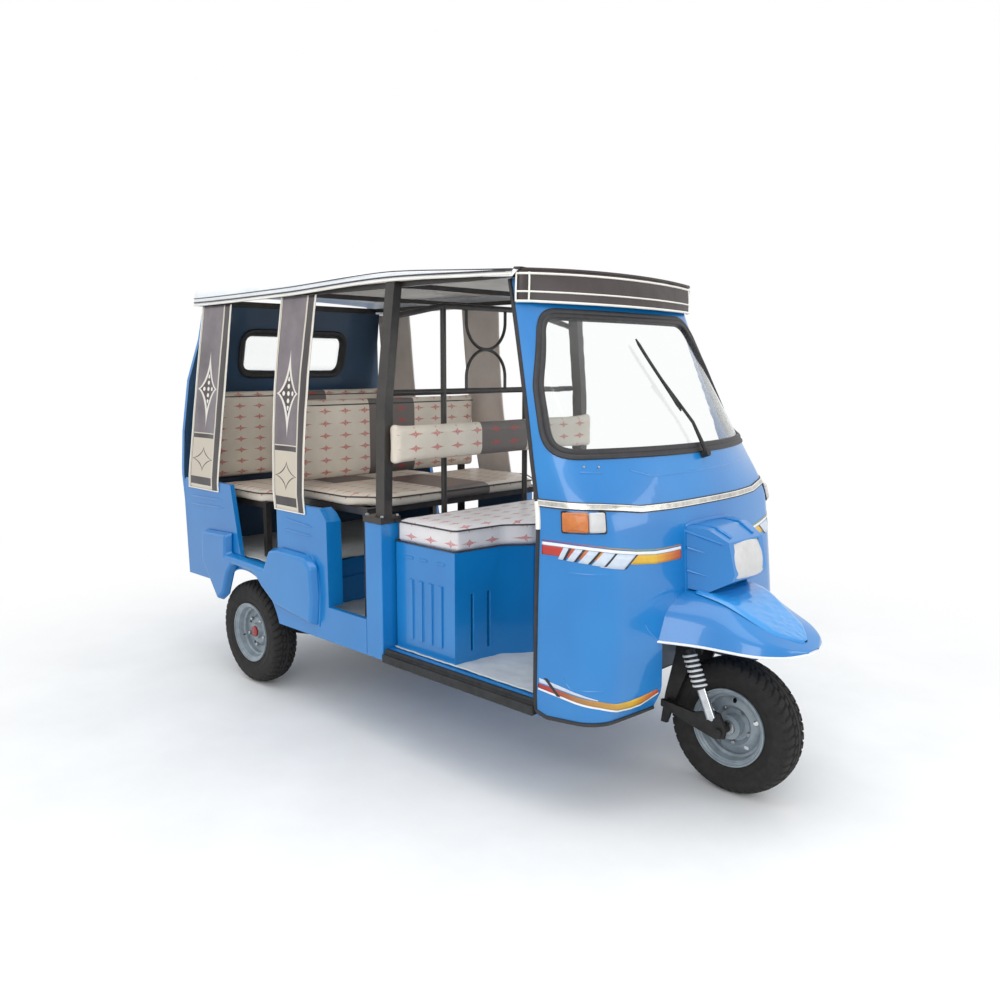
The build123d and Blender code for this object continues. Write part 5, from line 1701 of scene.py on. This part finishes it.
# %% Curtain vinyl and strips
def grid_piece(name, rows, finish, **more):
    """Grid with texture coordinates in metres ("flat") and as shares of its size ("share")."""
    obj = piece(name, [skin(rows)], finish=finish, **more)
    wide = len(rows[0])
    along = [0.0]
    for a, b in zip(rows, rows[1:]):
        along.append(along[-1] + (b[wide // 2] - a[wide // 2]).length)
    flat, share = {}, {}
    for r, row in enumerate(rows):
        across = 0.0
        for c, p in enumerate(row):
            if c:
                across += (p - row[c - 1]).length
            flat[spot(p)] = across, along[r]
            share[spot(p)] = c / (wide - 1), along[r] / along[-1]
    texture_places(obj, "flat", flat)
    texture_places(obj, "share", share)
    return obj


STRIPS = {   # x of both edges at the top, x of both at the bottom, top, bottom, how far it bows
    "rear": ((-462, -190), (-505, -215), 1797, 905, 0), "front": ((243, 508), (285, 518), 1808, 880, -25)}
RAIL_Y, PANEL_Y, PANEL_TOP = 545.7, 640.3, 957       # where the strip starts, and where it rests on the panel


def curtain_rows(top, bottom, z_top, z_low, bow, side):
    """Rows of points from the strip's lower edge up to the rail."""
    rows = []
    for i in range(61):
        t = i / 60
        z = z_low + (z_top - z_low) * t
        y_side = RAIL_Y + (PANEL_Y - RAIL_Y) * min(1, (z_top - z) / (z_top - PANEL_TOP)) + 3
        row = []
        for k in range(25):
            u = k / 24
            x_low, x_high = bottom[0] + (bottom[1] - bottom[0]) * u, top[0] + (top[1] - top[0]) * u
            x = x_low * (1 - t) + x_high * t
            x += bow * math.sin(math.pi * t)
            hang = math.sin(math.pi * min(1, t * 1.1))
            swell = 6 * hang * math.sin(2 * math.pi * (u * 1.4 + 0.25 * t))
            swell += 2 * noise.noise(Vector((x / 50, z / 90, side)))
            row.append(at(x, side * (y_side + swell * 0.6), z))
        rows.append(row)
    return rows


for name, strip in STRIPS.items():
    for side, word in ((-1, "right"), (1, "left")):
        rows = curtain_rows(*strip, side)
        hanging = grid_piece(f"curtain_{name}_{word}", rows, [curtain_vinyl, curtain_lining],
                             slot="curtain_vinyl")
        for face in hanging.data.polygons:
            if face.normal.y * side < 0:
                face.flip()
        cloth_sheet(hanging)
        lined(hanging, lambda p, n: n.y * side < -0.2)
        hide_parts("side_curtains")
        edges = [[row[0] for row in rows], [row[-1] for row in rows], rows[0]]
        hems = [bar([p * 1000 + Vector((MID_X, side, 0)) for p in edge], 2.6, 6) for edge in edges]
        piece(f"curtain_hem_{name}_{word}", hems, finish=cream_piping)

# %% [markdown]
# ## Seats
# The seats are foam pads in sewn vinyl. A pad bulges between its seams, which a cushion of air
# does too, so each pad starts as a plain block, is blown up a little by a cloth simulation with
# pressure, and then gets its piping along the seams.

# %% Blow up a pad
def blown_pad(name, block, finish, pressure=4.0, frames=16, voxel=9, cap_mm=14):
    """Blow a block up by air pressure in a cloth simulation, no point further than the cap."""
    obj = piece(name, [block], finish=finish, sharp=180)
    fine = obj.modifiers.new("fine", "REMESH")
    fine.mode, fine.voxel_size = "VOXEL", voxel / 1000
    applied(obj)
    before = [v.co.copy() for v in obj.data.vertices]
    cloth = obj.modifiers.new("cloth", "CLOTH")
    cloth.settings.use_pressure = True
    cloth.settings.uniform_pressure_force = pressure
    cloth.settings.effector_weights.gravity = 0
    cloth.settings.quality = 4
    cloth.settings.tension_stiffness = 30
    cloth.point_cache.frame_start, cloth.point_cache.frame_end = 1, frames
    for frame_number in range(1, frames + 1):
        bpy.context.scene.frame_set(frame_number)
    applied(obj)
    bpy.context.scene.frame_set(1)
    low = min(p.z for p in before)
    for v, start in zip(obj.data.vertices, before):
        move = v.co - start
        if move.length > cap_mm / 1000:
            move = move.normalized() * cap_mm / 1000
        v.co = start + move
        v.co.z = max(v.co.z, low - 0.0005)
    obj.data.shade_smooth()
    smooth = obj.modifiers.new("smooth", "SUBSURF")
    smooth.levels = smooth.render_levels = 1
    applied(obj)
    return obj


print("air pressure is", "on")

# %% [markdown]
# Seen from above, the driver's cushion bulges forwards in its middle, and both benches have their
# front corners cut off.

# %% Plans of the cushions
def plan_block(outline, z0, z1, soft=10):
    """Block over a plan outline with softened edges all round."""
    ring = rounded_path([(x, y, 0) for x, y in outline + outline[:1]], soft * 2, 4)[:-1]
    middle = sum(ring, Vector()) / len(ring)
    rows = []
    for z, inset in soft_levels(z0, z1, soft):
        row = []
        for p in ring:
            dx, dy = p.x - middle.x, p.y - middle.y
            x = p.x - math.copysign(min(inset, abs(dx)), dx)
            row.append(at(x, p.y - math.copysign(min(inset, abs(dy)), dy), z))
        rows.append(row)
    return solid(rows)


NEAR_PLAN = [(1048, -576), (1388, -576), (1414, -346), (1490, -252)]
DRIVER_PLAN = NEAR_PLAN + [(x, -y) for x, y in reversed(NEAR_PLAN)]


def bench_outline(x0, x1, chamfer, w=560):
    """Plan of a bench cushion with its two front corners cut off."""
    y = w - chamfer * 0.75
    return [(x0, -w), (x1 - chamfer, -w), (x1, -y), (x1, y), (x1 - chamfer, w), (x0, w)]


def seam(outline, z, out=6.0, radius=3.4):
    """Piping round a pad's plan at a height."""
    ring = rounded_path([(x, y, z) for x, y in outline + outline[:1]], 22, 5)[:-1]
    cx = sum(p.x for p in ring) / len(ring)
    return bar([p + Vector((p.x - cx, p.y, 0)).normalized() * out for p in ring], radius, 8, closed=True)


print("corners of the driver's cushion", len(DRIVER_PLAN))

# %% [markdown]
# Each pad stands for a plain solid, and dark piping covers the seams.

# %% Seats and backrests
softened("driver_seat_box", 6, sky_enamel, segments=4)
driver_pad = blown_pad("driver_cushion_pad", plan_block(DRIVER_PLAN, 827, 912), silver_print, cap_mm=10)
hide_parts("driver_seat_cushion")
driver_back = blown_pad("driver_back_pad", slab((1041, -606, 1134), (1082, 606, 1288), 12, axis=1),
                        cream_print, cap_mm=8)
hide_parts("driver_backrest")
BENCHES = (("middle", bench_outline(326, 866, 170), 927, 970, (272, -560, 985), (318, 560, 1366)),
           ("rear", bench_outline(-420, 70, 60), 870, 916, (-488, -554, 936), (-429, 554, 1386)))
for name, plan, z0, z1, low, high in BENCHES:
    pad = blown_pad(name + "_cushion_pad", plan_block(plan, z0, z1, 12), cream_print, cap_mm=9)
    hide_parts("bench_cushions")
    back = blown_pad(name + "_back_pad", slab(low, high, 14, axis=1), cream_print, cap_mm=9)
    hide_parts("bench_backrests")
pipes = [seam(DRIVER_PLAN, 909, 2), seam(DRIVER_PLAN, 832, 2)]
for _, plan, _, z1, _, high in BENCHES:
    pipes.append(seam(plan, z1 - 3, 3))
    pipes.append(bar([(high[0] + 5, y, high[2] - 34) for y in range(-548, 549, 12)], 3, 8))
piece("seat_seam_piping", pipes, finish=dark_piping)

# %% [markdown]
# ## Floor mats
# The mats are PVC floor cloth laid loose over the steel, so they have long low wrinkles.

# %% Mats
MATS = [   # rear, front, half width, height
    (339, 925.7, 598, 397), (1042, 1838, 585, 397), (-518, 313, 598, 605)]
for number, (x0, x1, half, z) in enumerate(MATS):
    rows = []
    for i in range(70):
        x = x0 + (x1 - x0) * i / 69
        row = []
        for k in range(110):
            y = half * (2 * k / 109 - 1)
            fold = abs(noise.noise(Vector((x / 120, y / 70, number))))
            fold += 0.4 * noise.noise(Vector((x / 30, y / 45, number + 5.0)))
            row.append(at(x, y, z - 0.5 + 4.5 * max(0.0, fold)))
        rows.append(row)
    mat = grid_piece(f"floor_mat_{number}", rows, mat_vinyl, slot="mat_grey")
    cloth_sheet(mat, 3, 0)
    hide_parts("floor_mats")

# %% [markdown]
# ## Tyres and wheels
# A scooter tyre has zig-zag grooves across its crown and plain walls with a few raised rings. The
# tread is cut into a fine turned grid by moving the points of the grooves inwards, which keeps
# the blocks' edges crisp without a separate solid for each block. Nuts, a hub cap and a valve
# complete the pressed wheels.

# %% Tread
SIDE_PROFILE = [(-50, 127), (-50, 143), (-55, 156), (-60, 172), (-61.5, 176), (-61, 185), (-62, 205),
                (-60, 218), (-54, 232), (-44, 239), (-30, 243), (-15, 245.4)]
PROFILE = SIDE_PROFILE + [(0, 246)] + mirrored(SIDE_PROFILE)       # across the tyre and radius
INSIDE = [(44, 127), (46, 190), (40, 222), (0, 232), (-40, 222), (-46, 190), (-44, 127)]
PITCHES, STEPS = 44, 10        # blocks round the tyre, and points round it for each
GROOVE = 6.5


def tyre_part(centre):
    """Closed tyre with its tread, round a centre."""
    walk = [Vector((a, r, 0)) for a, r in PROFILE]
    fine = []
    for p, q in zip(walk, walk[1:]):
        steps = 5 if min(p.y, q.y) > 225 else 2
        fine += [p.lerp(q, k / steps) for k in range(steps)]
    fine.append(walk[-1])
    rows = []
    for i in range(PITCHES * STEPS):
        angle = 2 * math.pi * i / (PITCHES * STEPS)
        row = []
        for p in fine:
            phase = (i / STEPS + abs(p.x) / 52 + (0.5 if abs(p.x) > 27 else 0)) % 1.0
            crown = p.y > 224
            across = crown and phase < 0.28 and abs(p.x) > 9
            around = crown and (abs(abs(p.x) - 9) < 2.5 or abs(abs(p.x) - 27) < 2.5)
            row.append((p.x, p.y - (GROOVE if across or around else 0) - 0.3))
        ca, sa = math.cos(angle), math.sin(angle)
        rows.append([at(centre[0] + r * ca, centre[1] + a, centre[2] + r * sa) for a, r in row + INSIDE])
    return skin(rows, closed=True, loop=True)


WHEELS = {
    "front_tyre": ((WHEELBASE, 0, TYRE_R), "front_wheel"),
    "rear_tyre_left": ((0, TRACK / 2, TYRE_R), "rear_wheel_left"),
    "rear_tyre_right": ((0, -TRACK / 2, TYRE_R), "rear_wheel_right")}
for node, (centre, body) in WHEELS.items():
    tyre = piece(node + "_tread", [tyre_part(centre)], body, tyre_rubber, sharp=30, stands_for=node,
                 slot="tyre")
print("a tyre has", len(tyre.data.polygons), "faces")

# %% [markdown]
# The disc is held by five nuts, its hub is closed by a pressed cap, and a rubber valve looks out
# of the rim. The rear hubs' caps are painted red. They are set on the side that faces outwards.

# %% Nuts, caps and valves
NUT = [(0, 0.2), (0, 9), (12, 9), (14, 7), (14, 0.2)]                 # out from the disc, and radius
CAP = [(0, 0.2), (0, 26), (7, 25), (10, 18), (11, 0.2)]
NUT_CIRCLE = 66


def outwards(profile, start, out):
    """A profile moved to where it starts along the axle, and pointing to one side."""
    return [(start + out * along, radius) for along, radius in profile]


def wheel_fittings(centre, disc_at, cap_at, out):
    """Five nuts on the disc, a hub cap and a valve, all on the side towards out."""
    x, y, z = centre
    parts = []
    for i in range(5):
        angle = math.radians(72 * i + 54)
        place = (x + NUT_CIRCLE * math.cos(angle), y, z + NUT_CIRCLE * math.sin(angle))
        parts.append((*turned(outwards(NUT, disc_at, out), place, "Y", 6), 0))
    parts.append((*turned(outwards(CAP, cap_at, out), centre, "Y", 28), 1))
    ca, sa = math.cos(math.radians(200)), math.sin(math.radians(200))
    stem = [(x + r * ca, y + disc_at + rise, z + r * sa) for r, rise in ((118, 0), (104, out * 22))]
    return parts + [(*bar(stem, [4.5, 3], 8), 2)]


FITTINGS = {   # name, disc and cap from the wheel's middle, side that faces outwards, finish of the cap
    "front_tyre": ("front_wheel_fittings", -4, -50, -1, zinc_steel),
    "rear_tyre_left": ("rear_wheel_fittings_left", 12, 27, 1, red_lens),
    "rear_tyre_right": ("rear_wheel_fittings_right", -12, -27, -1, red_lens)}
for node, (centre, body) in WHEELS.items():
    name, disc_at, cap_at, out, cap_finish = FITTINGS[node]
    piece(name, wheel_fittings(centre, disc_at, cap_at, out), body, [zinc_steel, cap_finish, edge_rubber])

# %% [markdown]
# A bright spring is wound round the upper half of each front damper. A coil is a circle that
# climbs along the damper's axis, so its points come from the angle, seven turns in all.

# %% Coils of the front dampers
COIL_TURNS, COIL_STEPS, COIL_R = 7, 16, 23
coils = []
for side in (-1, 1):
    foot, top = Vector((WHEELBASE - 17, side * 140, 300)), Vector((WHEELBASE - 120, side * 140, 528))
    sideways = Vector((0, 1, 0))
    across = (top - foot).cross(sideways).normalized()
    low, high = foot.lerp(top, 0.43), foot.lerp(top, 0.93)
    path = []
    for k in range(COIL_TURNS * COIL_STEPS + 1):
        angle = 2 * math.pi * k / COIL_STEPS
        rise = low.lerp(high, k / (COIL_TURNS * COIL_STEPS))
        path.append(rise + (across * math.cos(angle) + sideways * math.sin(angle)) * COIL_R)
    coils.append(bar(path, 4.2, 8))
piece("front_shock_coils", coils, "steering", film_white)
